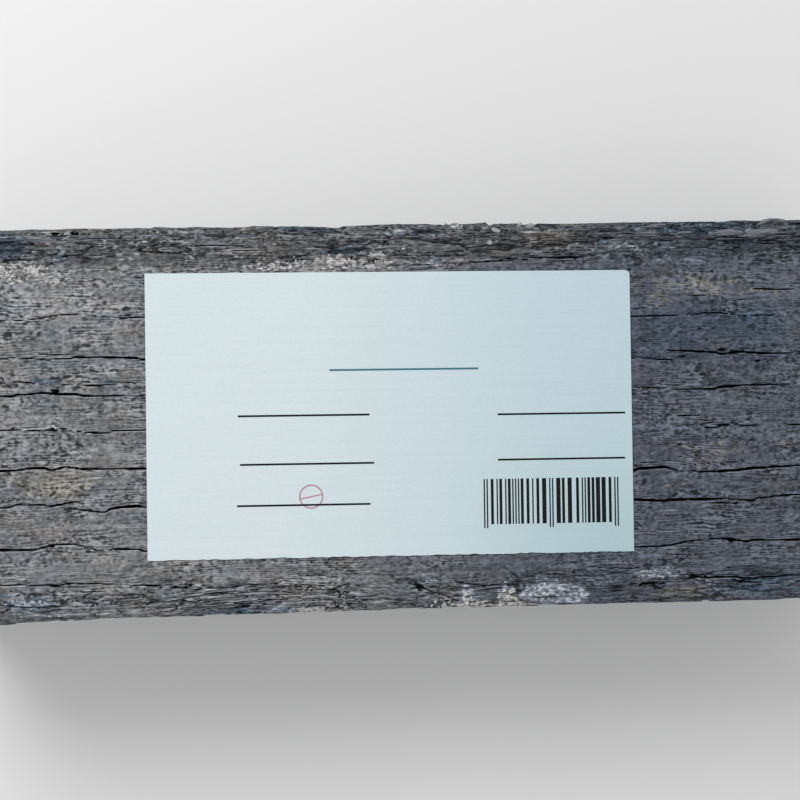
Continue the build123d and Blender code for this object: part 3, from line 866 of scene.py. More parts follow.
# Where the wood is paler than its part of the face, with strength as a share
PALER = [(-60, -98, 40, 8, 0.2), (80, 99, 30, 8, 0.2), (160, 86, 24, 5, 0.16), (206, 66, 16, 6, 0.16),
         (206, -100, 18, 6, 0.25), (-185, 107, 45, 4, 0.1)]
# Where fine lines of grain stand out
LINED = [(-86, -99, 62, 7, 3.0), (160, -70, 40, 8, 1.0), (160, -24, 16, 9, 1.0), (-200, -98, 26, 6, 1.0)]


def spot_value(spots):
    """The strongest spot at each point. Spots lie on the wide face and spill over its arrises."""
    value = np.zeros(len(points_mm))
    for spot_x, spot_y, along, across, strength in spots:
        away = ((points_mm[:, 0] - spot_x) / along) ** 2 + ((points_mm[:, 1] - spot_y) / across) ** 2
        value = np.maximum(value, strength * np.exp(-0.7 * away))
    return value * ease(points_mm[:, 2], HEIGHT - 30, HEIGHT - 16)


for label, spots in SPOTS.items():
    point_values[label] = spot_value(spots)
print({label: int((point_values[label] > 0.5).sum()) for label in SPOTS}, "points well inside spots")

# %% [markdown]
# Soft spots alone would leave the faces too even. Wide bands along both arrises are darker, the far
# left part is paler, and the grey turns from warm to slate along the block. The place of each ring
# is kept at the points too, so that the material can draw rings that match the shape.

# %% Set the broad tone and the ring values
px, py, pz = points_mm.T
on_top = ease(pz, HEIGHT - 26, HEIGHT - 8)
far_band = ease(py, 80, 92) * on_top
near_band = ease(-py, 82, 94) * on_top
left_glow = ease(-px, 140, 170) * ease(py, 52, 66) * (1 - far_band) * on_top
# 0 in the warm grey left part and 1 in the slate. The sides change over more slowly than the top.
off_top = 1 - on_top
change = px - 100 * far_band - 25 * near_band + 70 * off_top * noise(px, pz, 130, 60, 7)
point_values["right"] = ease(change / (1 + 1.3 * off_top), -70, 85)
point_values["tone"] = (1 - 0.46 * far_band - 0.1 * near_band + 0.2 * left_glow) * (0.86 + 0.14 * on_top)
point_values["tone"] *= 1 + spot_value(PALER)
point_values["rings"] = ring_place(px, py, pz)
# Fine lines of grain, and how strongly the surface is mottled: most at the torn arrises, least on slate
LINE_STEP = 1.9
point_values["lines"] = (py + pz + 1.6 * knot_push(px, py, pz)) / LINE_STEP
point_values["mottled"] = (1 - 0.1 * point_values["right"]) * (1 + 0.3 * far_band + 0.15 * near_band)
point_values["mottled"] *= 1 - 0.3 * np.clip(point_values["slate"], 0, 1)
point_values["mottled"] *= 1 - 0.6 * spot_value(SMOOTH)
point_values["lined"] = 1 + spot_value(LINED)
tone = point_values["tone"]
print("tone from", round(float(tone.min()), 2), "to", round(float(tone.max()), 2))

# %% [markdown]
# ## A flat map for the surface
#
# A flat map of the surface lets the material be painted into a picture. Each skin is laid out
# straight from the side it faces, so nothing overlaps. The wide face gets the most room. Points on a
# worn top arris are mapped with the wide face.

# %% Map the skins
MAP_PAGE = 815.0
# Each skin: the axes it is seen along, its scale, and its corner on the page
CHARTS = {
    0: (0, 1, 1.3, (2, 2)),
    1: (0, 2, 0.95, (2, 296)),
    2: (0, 1, 0.75, (2, 610)),
    3: (0, 2, 0.95, (2, 453)),
    4: (1, 2, 0.6, (590, 296)),
    5: (1, 2, 0.6, (590, 453)),
}
chart_of = face_skin.copy()
rises_to_top = point_values["upper"][faces].mean(axis=1) > 0.5
chart_of[rises_to_top & (face_skin != 0) & (face_skin < 4)] = 0
low = np.array([-LENGTH / 2, -WIDTH / 2, 0.0])
flat_map = np.zeros((len(faces), 3, 2))
for chart, (across_axis, up_axis, scale, corner) in CHARTS.items():
    mine = chart_of == chart
    seen = points_mm[faces[mine]] - low
    flat_map[mine, :, 0] = (corner[0] + scale * seen[:, :, across_axis]) / MAP_PAGE
    flat_map[mine, :, 1] = (corner[1] + scale * seen[:, :, up_axis]) / MAP_PAGE
print("map reaches", flat_map.reshape(-1, 2).max(axis=0).round(3))

# %% [markdown]
# The timber is the first, and it takes the place of the solid.

# %% Build the timber
def build_piece(name, points, triangles, values, mapping, materials, face_material, sharp=60):
    """One piece in metres, riding on the root. Edges that bend by more than sharp degrees stay sharp."""
    mesh = bpy.data.meshes.new(name)
    mesh.from_pydata(points * MM, [], triangles.tolist())
    for label, numbers in values.items():
        mesh.attributes.new(label, "FLOAT", "POINT").data.foreach_set("value", numbers)
    for material in materials:
        mesh.materials.append(material)
    mesh.polygons.foreach_set("material_index", face_material)
    mesh.shade_smooth()
    mesh.set_sharp_from_angle(angle=math.radians(sharp))
    if mapping is not None:
        layer = mesh.uv_layers.new(name="OFBake")
        layer.data.foreach_set("uv", mapping.ravel())
    mesh.update()
    piece = bpy.data.objects.new(name, mesh)
    bpy.context.collection.objects.link(piece)
    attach(piece, "root")
    print(name, len(mesh.polygons), "faces")
    return piece


SHOWN = ["dug", "lip", "rings", "lines", "lined", "mottled", "right", "tone", *SPOTS]
shown_values = {label: point_values[label] for label in SHOWN}
timber = build_piece("timber_weathered", points_mm, faces, shown_values, flat_map, [],
                     np.zeros(len(faces), dtype=int))
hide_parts("timber")

# %% [markdown]
# ## Mixing materials with little helpers
#
# Materials are made of shader nodes. Adding and linking them one by one makes long scripts, so these
# helpers do it: each takes plain values or the output of another node and hands its result back. A
# colour is written as it shows in the photograph, in steps from 0 to 255.

# %% Helpers for shader nodes
def shade(red, green, blue):
    """A colour as it shows in a photograph, turned into the light values that Blender works with."""
    light = [((step / 255 + 0.055) / 1.055) ** 2.4 for step in (red, green, blue)]
    return (*light, 1.0)


def plug(tree, socket, value):
    """Puts a plain value on a socket, or links another node's output to it."""
    if isinstance(value, bpy.types.NodeSocket):
        tree.links.new(value, socket)
    else:
        socket.default_value = value


def sums(tree, operation, first, second=0.0, third=0.0):
    """One step of arithmetic."""
    node = tree.nodes.new("ShaderNodeMath")
    node.operation = operation
    for socket, value in zip(node.inputs, (first, second, third)):
        plug(tree, socket, value)
    return node.outputs[0]


def mixed(tree, share, first, second, way="MIX"):
    """The first colour with a share of the second one in it."""
    node = tree.nodes.new("ShaderNodeMix")
    node.data_type = "RGBA"
    node.blend_type = way
    for name, value in (("Factor_Float", share), ("A_Color", first), ("B_Color", second)):
        plug(tree, next(s for s in node.inputs if s.identifier == name), value)
    return next(s for s in node.outputs if s.identifier == "Result_Color")


def ramped(tree, value, start, end, low=0.0, high=1.0):
    """Low before start, high after end, and smooth in between."""
    node = tree.nodes.new("ShaderNodeMapRange")
    node.interpolation_type = "SMOOTHSTEP"
    for socket, number in zip(node.inputs, (value, start, end, low, high)):
        plug(tree, socket, number)
    return node.outputs[0]


def kept(tree, label):
    """A value that was kept at the points of the mesh."""
    node = tree.nodes.new("ShaderNodeAttribute")
    node.attribute_name = label
    return node.outputs["Fac"]


def place_in_mm(tree, stretch, shift=(0.0, 0.0, 0.0), source=None):
    """The place on the piece, with each axis divided by a length in millimetres."""
    if source is None:
        source = tree.nodes.new("ShaderNodeTexCoord").outputs["Object"]
    node = tree.nodes.new("ShaderNodeMapping")
    tree.links.new(source, node.inputs["Vector"])
    node.inputs["Scale"].default_value = [1 / (MM * length) for length in stretch]
    node.inputs["Location"].default_value = shift
    return node.outputs["Vector"]


def speckle(tree, stretch, shift=0.0, detail=3.0, roughness=0.6, distortion=0.0):
    """Blender's noise texture, its patches stretched to lengths in millimetres."""
    node = tree.nodes.new("ShaderNodeTexNoise")
    tree.links.new(place_in_mm(tree, stretch, (shift, shift, shift)), node.inputs["Vector"])
    node.inputs["Scale"].default_value = 1.0
    node.inputs["Detail"].default_value = detail
    node.inputs["Roughness"].default_value = roughness
    node.inputs["Distortion"].default_value = distortion
    return node.outputs["Fac"]


print("white comes out as", shade(255, 255, 255))

# %% [markdown]
# ## Weathered wood
#
# Up close the wood is a felt of grey fibres: pale where they stand up and dry out, dark where oil and
# dirt sit between them. Four noises make it, from long streaks to specks of two millimetres, and two
# sets of lines follow the growth rings and the fine grain. Each one lightens or darkens the broad
# colour of its part of the face. The same values raise and lower the surface in a bump, so the light
# agrees with the colour.

# %% Make the weathered wood
WARM_GREY = shade(125, 127, 130)
SLATE = shade(86, 91, 103)
# The colour inside the checks: dirt and oil, and painted shade.
CHECK_DIRT_AND_SHADE = shade(17, 18, 21)
DARK_PIT = shade(34, 35, 40)


def weathered_wood(name, ring_strength, ring_sway, line_strength, felt, warm, cool):
    """Weathered wood, with how strong its rings, fine lines and felt are, and its two greys."""
    material = bpy.data.materials.new(name)
    material.use_nodes = True
    tree = material.node_tree
    shader = tree.nodes["Principled BSDF"]

    streaks = speckle(tree, (18, 2.5, 2.5), 3.0, detail=1.0, roughness=0.5, distortion=0.2)
    flakes = speckle(tree, (3.2, 2.4, 2.4), 11.0, detail=1.0, roughness=0.45, distortion=0.8)
    grit = speckle(tree, (2.1, 1.8, 1.8), 19.0, detail=0.0)
    clouds = speckle(tree, (30, 12, 12), 27.0, detail=3.0, roughness=0.6)
    ring_turn = sums(tree, "MULTIPLY", kept(tree, "rings"), 2 * math.pi)
    ring_turn = sums(tree, "ADD", ring_turn, sums(tree, "MULTIPLY", flakes, ring_sway))
    fading = ramped(tree, speckle(tree, (60, 24, 24), 47.0, detail=2.0), 0.36, 0.62, 0.25, 1.25)
    ring_line = sums(tree, "MULTIPLY", sums(tree, "COSINE", ring_turn), fading)
    line_turn = sums(tree, "MULTIPLY", kept(tree, "lines"), 2 * math.pi)
    line_sway = speckle(tree, (26, 8, 8), 33.0, detail=2.0)
    line_turn = sums(tree, "ADD", line_turn, sums(tree, "MULTIPLY", line_sway, 24.0))
    line_turn = sums(tree, "ADD", line_turn, sums(tree, "MULTIPLY", flakes, 3.0))
    patches = ramped(tree, speckle(tree, (22, 7, 7), 37.0, detail=1.0), 0.4, 0.56)
    fine_line = sums(tree, "MULTIPLY", sums(tree, "COSINE", line_turn), patches)

    fine = sums(tree, "MULTIPLY", sums(tree, "MULTIPLY", fine_line, kept(tree, "lined")), line_strength)
    for noise_value, strength in ((streaks, 0.7 * felt), (flakes, 2.4 * felt), (grit, 1.4 * felt)):
        fine = sums(tree, "ADD", fine, sums(tree, "MULTIPLY_ADD", noise_value, strength, -strength / 2))
    craggy = ramped(tree, speckle(tree, (32, 12, 12), 39.0, detail=2.0), 0.4, 0.62, 0.6, 1.3)
    fine = sums(tree, "MULTIPLY", fine, sums(tree, "MULTIPLY", craggy, kept(tree, "mottled")))
    lightness = sums(tree, "MULTIPLY_ADD", ring_line, ring_strength, 0.93)
    lightness = sums(tree, "ADD", lightness, fine)
    lightness = sums(tree, "ADD", lightness, sums(tree, "MULTIPLY_ADD", clouds, 0.8, -0.4))
    lightness = ramped(tree, lightness, -0.1, 2.1, 0.12, 1.95)
    lightness = sums(tree, "MULTIPLY", lightness, kept(tree, "tone"))

    broad = mixed(tree, kept(tree, "right"), warm, cool)
    hue = speckle(tree, (20, 9, 9), 41.0, detail=3.0)
    broad = mixed(tree, ramped(tree, hue, 0.5, 0.64, 0, 0.4), broad, shade(98, 110, 119))
    warmer = mixed(tree, 1.0, broad, (1.06, 0.99, 0.94, 1), "MULTIPLY")
    broad = mixed(tree, ramped(tree, hue, 0.48, 0.34), broad, warmer)
    blues = mixed(tree, ramped(tree, speckle(tree, (7, 2.8, 2.8), 45.0, detail=3.0), 0.44, 0.58),
                  shade(42, 58, 80), shade(98, 124, 138))
    for label, colour, most, seed in (
        ("tan", shade(137, 133, 124), 0.6, 51.0),
        ("slate", shade(66, 78, 92), 0.85, 57.0),
        ("blue", blues, 0.8, 61.0),
    ):
        edge = sums(tree, "MULTIPLY_ADD", speckle(tree, (8, 3.6, 3.6), seed, detail=4.0), 1.6, -0.8)
        spot = ramped(tree, sums(tree, "ADD", kept(tree, label), edge), 0.3, 0.75, 0, most)
        broad = mixed(tree, spot, broad, colour)
    surface = mixed(tree, 1.0, broad, lightness, "MULTIPLY")

    specks = speckle(tree, (3.6, 2.3, 2.3), 67.0, detail=0.5, distortion=0.6)
    pale = sums(tree, "MULTIPLY_ADD", specks, 1.0, -0.5)
    pale = sums(tree, "MULTIPLY", pale, craggy)
    paler = mixed(tree, 1.0, broad, (2.3, 2.25, 2.15, 1), "MULTIPLY")
    surface = mixed(tree, ramped(tree, pale, 0.14, 0.24, 0, 0.6), surface, paler)
    surface = mixed(tree, ramped(tree, pale, -0.18, -0.3, 0, 0.6), surface, DARK_PIT)
    # Lips of the checks: a painted highlight, paler than the wood around them.
    lip_highlight_noise = ramped(tree, speckle(tree, (9, 1.6, 1.6), 69.0, detail=2.0), 0.42, 0.6, 0.15, 1.1)
    lip = sums(tree, "MULTIPLY", ramped(tree, kept(tree, "lip"), 0.1, 0.7), lip_highlight_noise)
    surface = mixed(tree, lip, surface, mixed(tree, 1.0, broad, (2.4, 2.4, 2.4, 1), "MULTIPLY"))
    frost_edge = speckle(tree, (3.2, 2.0, 2.0), 73.0, detail=3.0, roughness=0.65)
    frost = ramped(tree, sums(tree, "MULTIPLY", kept(tree, "frost"), frost_edge), 0.29, 0.47, 0, 0.9)
    frost_colour = mixed(tree, ramped(tree, speckle(tree, (2.6, 2.0, 2.0), 75.0), 0.42, 0.6),
                         shade(118, 130, 146), shade(218, 226, 234))
    surface = mixed(tree, frost, surface, frost_colour)
    mud_edge = speckle(tree, (6, 3.2, 3.2), 79.0, detail=4.0, roughness=0.65)
    mud = ramped(tree, sums(tree, "ADD", kept(tree, "mud"), mud_edge), 1.0, 1.1, 0, 0.9)
    mud_colour = mixed(tree, ramped(tree, speckle(tree, (3.4, 1.9, 1.9), 81.0, detail=2.0), 0.4, 0.6),
                       shade(74, 74, 78), shade(216, 213, 211))
    surface = mixed(tree, mud, surface, mud_colour)
    # Checks, splits and crevices darken with depth: partly dirt and oil, partly painted shade.
    dug_dirt_and_shade = ramped(tree, kept(tree, "dug"), 0.5, 2.4)
    surface = mixed(tree, dug_dirt_and_shade, surface, CHECK_DIRT_AND_SHADE)
    tree.links.new(surface, shader.inputs["Base Color"])

    shader.inputs["Roughness"].default_value = 0.82
    shader.inputs["Specular IOR Level"].default_value = 0.25
    height = sums(tree, "MULTIPLY_ADD", fine_line, 0.25, sums(tree, "MULTIPLY", ring_line, 0.1))
    for noise_value, strength in ((streaks, 0.8), (flakes, 1.2), (grit, 0.8), (mud, 0.5)):
        height = sums(tree, "ADD", height, sums(tree, "MULTIPLY", noise_value, strength))
    bump = tree.nodes.new("ShaderNodeBump")
    bump.inputs["Distance"].default_value = 0.9 * MM
    bump.inputs["Strength"].default_value = 0.65
    tree.links.new(height, bump.inputs["Height"])
    tree.links.new(bump.outputs["Normal"], shader.inputs["Normal"])
    print(name, len(tree.nodes), "nodes")
    return material


side_wood = weathered_wood("weathered_timber", 0.07, 3.2, 0.42, 1.0, WARM_GREY, SLATE)
end_wood = weathered_wood("end_grain", 0.22, 1.0, 0.0, 0.6, shade(112, 110, 107), shade(96, 97, 102))
timber.data.materials.append(side_wood)
timber.data.materials.append(end_wood)
timber.data.polygons.foreach_set("material_index", np.where(face_skin >= 4, 1, 0))
timber.data.update()

# %% [markdown]
# ## The paper sheet
#
# A sheet of thin paper lies on the block. Its corners are square, apart from the far right one, which
# is trimmed round. It has lain outdoors: it waves a little, and damp has nibbled its lower edge. Its
# print isn't copied. What stays is generic: an underline, ruled lines for a form, a block of bars
# drawn at random, and a small red ring with a line across it. The sheet is a grid in which each edge
# of the print has a line of its own, so the ink has sharp edges without a picture.

# %% Rule the sheet's print
sheet_low, sheet_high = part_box("paper_sheet")
SHEET_MIDDLE = [(low + high) / 2 / MM for low, high in zip(sheet_low, sheet_high)]
SHEET_LENGTH, SHEET_WIDTH, SHEET_TURN = 270.0, 158.0, math.radians(-0.5)
SHEET_THICKNESS, SHEET_CORNER = 0.3, 2.5
RULE = 1.1
# Each ink area: x from and to, y from and to, and its ink, on the sheet's own axes
HEADING_LINE = [(-34.2, 48.8, 24.1, 24.1 + RULE, "teal")]
RULE_PLACES = [(-84.9, -12.3, -0.8), (-84, -10, -27.6), (-85.9, -12.4, -50.3),
               (59.2, 131.2, -1.7), (59, 130.8, -27)]
FORM_LINES = [(left, right, y, y + RULE, "black") for left, right, y in RULE_PLACES]
BAR_FROM, BAR_STEP = 50.7, 0.8
BAR_TOP, BAR_FOOT, LONG_FOOT = -37.1, -62.4, -64.5
# Long thin bars stand in pairs at both ends and in the middle, with random ones between them
bar_steps = [(step, 1, LONG_FOOT) for step in (0, 2, 46, 48, 92, 94)]
bar_draw = np.random.default_rng(23)
for step, last in ((5, 43), (51, 89)):
    while step <= last:
        wide = int(bar_draw.choice([1, 2, 3], p=[0.5, 0.3, 0.2]))
        bar_steps.append((step, wide, BAR_FOOT))
        step += wide + int(bar_draw.choice([1, 2, 3], p=[0.55, 0.35, 0.1]))
bars = [(BAR_FROM + BAR_STEP * step, BAR_FROM + BAR_STEP * (step + wide), foot, BAR_TOP, "black")
        for step, wide, foot in bar_steps]
ink_areas = HEADING_LINE + FORM_LINES + bars
print(len(bars), "bars and", len(ink_areas), "areas of ink")

# %% [markdown]
# The sheet is a thin closed box of two grids and a rim. Its lines crowd where the print has an edge.
# Each face of the upper grid is paper, black ink or teal ink. The waves lift it by less than a
# millimetre, and the nibbled edge and the trimmed corner move a few points of the grid.

# %% Make the sheet
LINE_GAP = 0.3  # an even line closer than this to a line of the print is left out


def grid_lines(half, step, extra):
    """Evenly spaced lines from edge to edge, with the print's own lines among them."""
    lines = list(np.linspace(-half, half, round(2 * half / step) + 1))
    lines = [line for line in lines
             if abs(line) == half or all(abs(line - own) > LINE_GAP for own in extra)]
    return np.array(sorted(set(lines) | set(extra)))


RING_MIDDLE, RING_REACH, RING_SLANT = (-45.1, -45.2), 6.3, 0.2
columns = grid_lines(SHEET_LENGTH / 2, 3.0, sorted({edge for area in ink_areas for edge in area[:2]}))
rows = grid_lines(SHEET_WIDTH / 2, 2.2, sorted({edge for area in ink_areas for edge in area[2:4]}))
u, v = np.meshgrid(columns, rows)
ink = np.zeros((len(rows) - 1, len(columns) - 1), dtype=int)
middle_u, middle_v = (u[:-1, :-1] + u[1:, 1:]) / 2, (v[:-1, :-1] + v[1:, 1:]) / 2
for left, right, foot, top, colour in ink_areas:
    inside = (middle_u > left) & (middle_u < right) & (middle_v > foot) & (middle_v < top)
    ink[inside] = 1 if colour == "black" else 2

near_edge = ease(-v, SHEET_WIDTH / 2 - 3, SHEET_WIDTH / 2)
nibbled = np.abs(rough_noise(u, np.zeros_like(u), 5.5, 1, 301)) * near_edge
v_cut = v + 0.8 * nibbled
corner_x = np.clip(u - (SHEET_LENGTH / 2 - SHEET_CORNER), 0, None) / SHEET_CORNER
corner_y = np.clip(v - (SHEET_WIDTH / 2 - SHEET_CORNER), 0, None) / SHEET_CORNER
u_cut = u - SHEET_CORNER * corner_x * (1 - np.sqrt(1 - corner_y**2 / 2))
v_cut = v_cut - SHEET_CORNER * corner_y * (1 - np.sqrt(1 - corner_x**2 / 2))
to_edge = np.minimum(SHEET_LENGTH / 2 - np.abs(u), SHEET_WIDTH / 2 - np.abs(v))
wave = 0.16 + 0.14 * rough_noise(u, v, 60, 17, 311)
wave = wave + 0.10 * ease(-to_edge, -9, 0) * noise(u, v, 31, 29, 317)
wave = np.clip(wave, 0.02, 0.6)
cos_turn, sin_turn = math.cos(SHEET_TURN), math.sin(SHEET_TURN)
sheet_x = SHEET_MIDDLE[0] + u_cut * cos_turn - v_cut * sin_turn
sheet_y = SHEET_MIDDLE[1] + u_cut * sin_turn + v_cut * cos_turn
face_up = np.stack([sheet_x, sheet_y, HEIGHT + wave + SHEET_THICKNESS], axis=-1).reshape(-1, 3)
face_down = np.stack([sheet_x, sheet_y, HEIGHT + wave], axis=-1).reshape(-1, 3)

index = np.arange(u.size).reshape(u.shape)
upper = np.stack([index[:-1, :-1], index[:-1, 1:], index[1:, 1:], index[1:, :-1]], axis=-1).reshape(-1, 4)
rim = np.concatenate([index[0, :], index[1:, -1], index[-1, -2::-1], index[-2:0:-1, 0]])
edge_faces = np.stack([rim + u.size, np.roll(rim, -1) + u.size, np.roll(rim, -1), rim], axis=-1)
sheet_points = np.vstack([face_up, face_down])
sheet_faces = np.vstack([upper, upper[:, ::-1] + u.size, edge_faces])
sheet_ink = np.concatenate([ink.ravel(), np.zeros(len(upper) + len(edge_faces), dtype=int)])
map_x = sheet_points[sheet_faces][:, :, 0] - sheet_points[:, 0].min()
map_y = sheet_points[sheet_faces][:, :, 1] - sheet_points[:, 1].min()
back = np.repeat((np.arange(len(sheet_faces)) >= len(upper))[:, None], 4, axis=1)
SHEET_PAGE = (275, 340)  # page size for the sheet and its back, one above the other
sheet_map = np.stack([map_x / SHEET_PAGE[0], map_y / SHEET_PAGE[1] + np.where(back, 0.5, 0)], axis=-1)
local = np.tile(np.stack([u.ravel(), v.ravel()]), 2)
print(len(sheet_faces), "faces in the sheet")

# %% [markdown]
# Paper lit by the sky looks pale blue. The sheet and its ink darken towards the right and the lower
# right: painted shade, where less light falls. Its ink is printed matt. Fine fibres and a faint
# crease or two keep it from looking like plastic.

# %% Make the paper and the inks
def printed(name, left, right, shaded_lower_right, ring_ink=None):
    """Paper or ink that changes from left to right and darkens at its lower right: painted shade."""
    material = bpy.data.materials.new(name)
    material.use_nodes = True
    tree = material.node_tree
    shader = tree.nodes["Principled BSDF"]
    # Darker to the right and at the lower right: painted shade, not the sheet's own colour.
    colour = mixed(tree, ramped(tree, kept(tree, "sheet_x"), -75, 135), left, right)
    low_share = ramped(tree, kept(tree, "sheet_y"), 0, -79)
    right_share = ramped(tree, kept(tree, "sheet_x"), 20, 135)
    colour = mixed(tree, sums(tree, "MULTIPLY", low_share, right_share), colour, shaded_lower_right)
    grain = speckle(tree, (0.9, 0.9, 0.9), 5.0, detail=2.0)
    colour = mixed(tree, 1.0, colour, ramped(tree, grain, 0.2, 0.8, 0.965, 1.03), "MULTIPLY")
    creases = speckle(tree, (90, 2.6, 2.6), 9.0, detail=2.0)
    if ring_ink is not None:
        to_x = sums(tree, "SUBTRACT", kept(tree, "sheet_x"), RING_MIDDLE[0])
        to_y = sums(tree, "SUBTRACT", kept(tree, "sheet_y"), RING_MIDDLE[1])
        squares = sums(tree, "MULTIPLY_ADD", to_x, to_x, sums(tree, "MULTIPLY", to_y, to_y))
        reach = sums(tree, "SQRT", squares)
        off_ring = sums(tree, "ABSOLUTE", sums(tree, "SUBTRACT", reach, RING_REACH))
        off_bar = sums(tree, "ABSOLUTE", sums(tree, "MULTIPLY_ADD", to_x, -RING_SLANT, to_y))
        off_bar = sums(tree, "MAXIMUM", off_bar, sums(tree, "SUBTRACT", reach, RING_REACH))
        ring = ramped(tree, sums(tree, "MINIMUM", off_ring, off_bar), 0.55, 0.25, 0, 0.8)
        colour = mixed(tree, ring, colour, ring_ink)
    tree.links.new(colour, shader.inputs["Base Color"])
    shader.inputs["Roughness"].default_value = 0.72
    shader.inputs["Specular IOR Level"].default_value = 0.2
    bump = tree.nodes.new("ShaderNodeBump")
    bump.inputs["Distance"].default_value = 0.25 * MM
    bump.inputs["Strength"].default_value = 0.8
    tree.links.new(sums(tree, "ADD", sums(tree, "MULTIPLY", grain, 0.25), creases), bump.inputs["Height"])
    tree.links.new(bump.outputs["Normal"], shader.inputs["Normal"])
    return material


paper = printed("pale_blue_paper", shade(219, 232, 236), shade(198, 219, 227), shade(182, 208, 214),
                shade(176, 96, 108))
black_ink = printed("black_ink", shade(16, 22, 24), shade(15, 21, 23), shade(14, 19, 21))
teal_ink = printed("teal_ink", shade(74, 118, 134), shade(70, 114, 130), shade(66, 108, 124))
sheet_values = {"sheet_x": local[0], "sheet_y": local[1]}
sheet = build_piece("paper_sheet_printed", sheet_points, sheet_faces, sheet_values, sheet_map,
                    [paper, black_ink, teal_ink], sheet_ink, sharp=40)
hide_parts("paper_sheet")

# %% [markdown]
# ## Splinters along the arrises
#
# Where the arrises are torn, slivers of wood stand loose. Two big ones show by the far arris at
# the right. Each sliver is a thin blade with four sides that tapers to both ends. It lies along the
# grain, and a ray dropped onto the timber finds the height it rests at. All of them are one mesh.

# %% Make the splinters
tree_of_timber = BVHTree.FromPolygons(points_mm.tolist(), faces.tolist())
RAY_START = HEIGHT + 20


def height_at(x, y):
    """Height of the timber's surface under a point, or None beside the timber."""
    hit, _, _, _ = tree_of_timber.ray_cast(Vector((x, y, RAY_START)), Vector((0, 0, -1)))
    return None if hit is None else hit.z


def splinter(x, y, length, width, thickness, lean, lift, rng):
    """Points and faces of one tapered blade that lies on the timber."""
    stations = 7
    spine, grounds = [], []
    for step in range(stations):
        share = step / (stations - 1)
        here_x = x + length * (share - 0.5)
        here_y = y + lean * length * (share - 0.5) + rng.uniform(-0.12, 0.12) * width
        ground = height_at(here_x, here_y)
        if ground is None:
            return [], []
        spine.append((share, here_x, here_y))
        grounds.append(ground)
    points = []
    for (share, here_x, here_y), ground in zip(spine, grounds):
        ground = max(ground, max(grounds) - 1.5)  # a blade is stiff: it doesn't drape over the arris
        fat = max(0.06, math.sin(math.pi * (0.04 + 0.92 * share)) ** 0.6)
        half_wide, half_thick = fat * width / 2, fat * thickness / 2
        middle = ground + 0.1 + lift * share**2
        points += [(here_x, here_y - half_wide, middle), (here_x, here_y, middle + half_thick),
                   (here_x, here_y + half_wide, middle), (here_x, here_y, middle - half_thick)]
    blade = []
    for step in range(stations - 1):
        for corner in range(4):
            a, b = 4 * step + corner, 4 * step + (corner + 1) % 4
            blade += [(a, a + 4, b + 4), (a, b + 4, b)]
    last = 4 * (stations - 1)
    blade += [(0, 1, 2), (0, 2, 3), (last, last + 2, last + 1), (last, last + 3, last + 2)]
    return points, blade


# The ones that can be made out: x, y, length, width, thickness, lean, lift
SEEN_SPLINTERS = [
    (205, 100.6, 25, 5.0, 1.8, 0.05, 0.7), (187, 100.9, 20, 3.6, 1.3, 0.01, 0.4),
    (147.5, 106, 13, 2.0, 1.0, 0.13, 0.4), (211, 107.2, 9, 2.0, 1.2, 0.42, 1.2),
    (219, 109.0, 13, 2.8, 1.4, -0.02, 0.6), (-71.5, 99.4, 8, 1.5, 0.9, -0.02, 0.4),
    (-76.2, 99.4, 1.5, 4.2, 0.9, 0.0, 0.2), (-114.5, 105.2, 6, 1.8, 0.9, -0.25, 0.4),
    (33, 108, 4.5, 1.9, 0.9, -0.3, 0.4), (52.5, 96.8, 8, 1.4, 0.8, 0.08, 0.3),
    (-26.5, 104.5, 6, 1.5, 0.8, -0.5, 0.3), (-101, 98.8, 9, 1.0, 0.7, -0.05, 0.3),
    (-166, 103.6, 10, 1.3, 0.8, 0.06, 0.3), (-138, 103.8, 12, 1.4, 0.8, -0.04, 0.4),
    (120, 94, 10, 1.2, 0.7, 0.05, 0.3), (163, 101.2, 9, 1.4, 0.8, 0.0, 0.3),
]
rng = np.random.default_rng(401)
wanted = list(SEEN_SPLINTERS)
for low_y, high_y, count in ((96, 109, 150), (-109, -98, 110)):
    for _ in range(count):
        wanted.append((rng.uniform(-296, 296), rng.uniform(low_y, high_y), rng.uniform(4, 17),
                       rng.uniform(0.5, 1.3), rng.uniform(0.35, 0.8), rng.uniform(-0.05, 0.05),
                       rng.uniform(0, 0.5)))
splinter_points, splinter_faces, splinter_tone = [], [], []
for order, (x_at, y_at, length, width, thickness, lean, lift) in enumerate(wanted):
    blade_points, blade_faces = splinter(x_at, y_at, length, width, thickness, lean, lift, rng)
    start = len(splinter_points)
    splinter_faces += [tuple(corner + start for corner in face) for face in blade_faces]
    splinter_points += blade_points
    tone = 0.8 if order < len(SEEN_SPLINTERS) else rng.uniform(0.2, 0.8)
    splinter_tone += [tone] * len(blade_points)


def splinter_wood():
    """Bare fibre in a cool grey. Each blade has its own tone."""
    material = bpy.data.materials.new("splinter_wood")
    material.use_nodes = True
    tree = material.node_tree
    shader = tree.nodes["Principled BSDF"]
    fibres = speckle(tree, (9, 0.7, 0.7), 13.0, detail=3.0)
    colour = mixed(tree, ramped(tree, fibres, 0.3, 0.7), shade(94, 98, 108), shade(160, 163, 171))
    colour = mixed(tree, 1.0, colour, kept(tree, "tone"), "MULTIPLY")
    tree.links.new(colour, shader.inputs["Base Color"])
    shader.inputs["Roughness"].default_value = 0.85
    shader.inputs["Specular IOR Level"].default_value = 0.2
    bump = tree.nodes.new("ShaderNodeBump")
    bump.inputs["Distance"].default_value = 0.3 * MM
    tree.links.new(fibres, bump.inputs["Height"])
    tree.links.new(bump.outputs["Normal"], shader.inputs["Normal"])
    return material


build_piece("splinters", np.array(splinter_points), np.array(splinter_faces),
            {"tone": np.array(splinter_tone)}, None, [splinter_wood()],
            np.zeros(len(splinter_faces), dtype=int), sharp=20)

# %% [markdown]
# ## Grains of dry mud
#
# The mud crusts are heaps of small crumbs. A stain in the material alone would look painted on, so
# crumbs of one to three millimetres are strewn over the same spots: many in the middle of a spot and
# few at its rim. Each is a dented ball of twenty triangles, sunk a little into the wood.

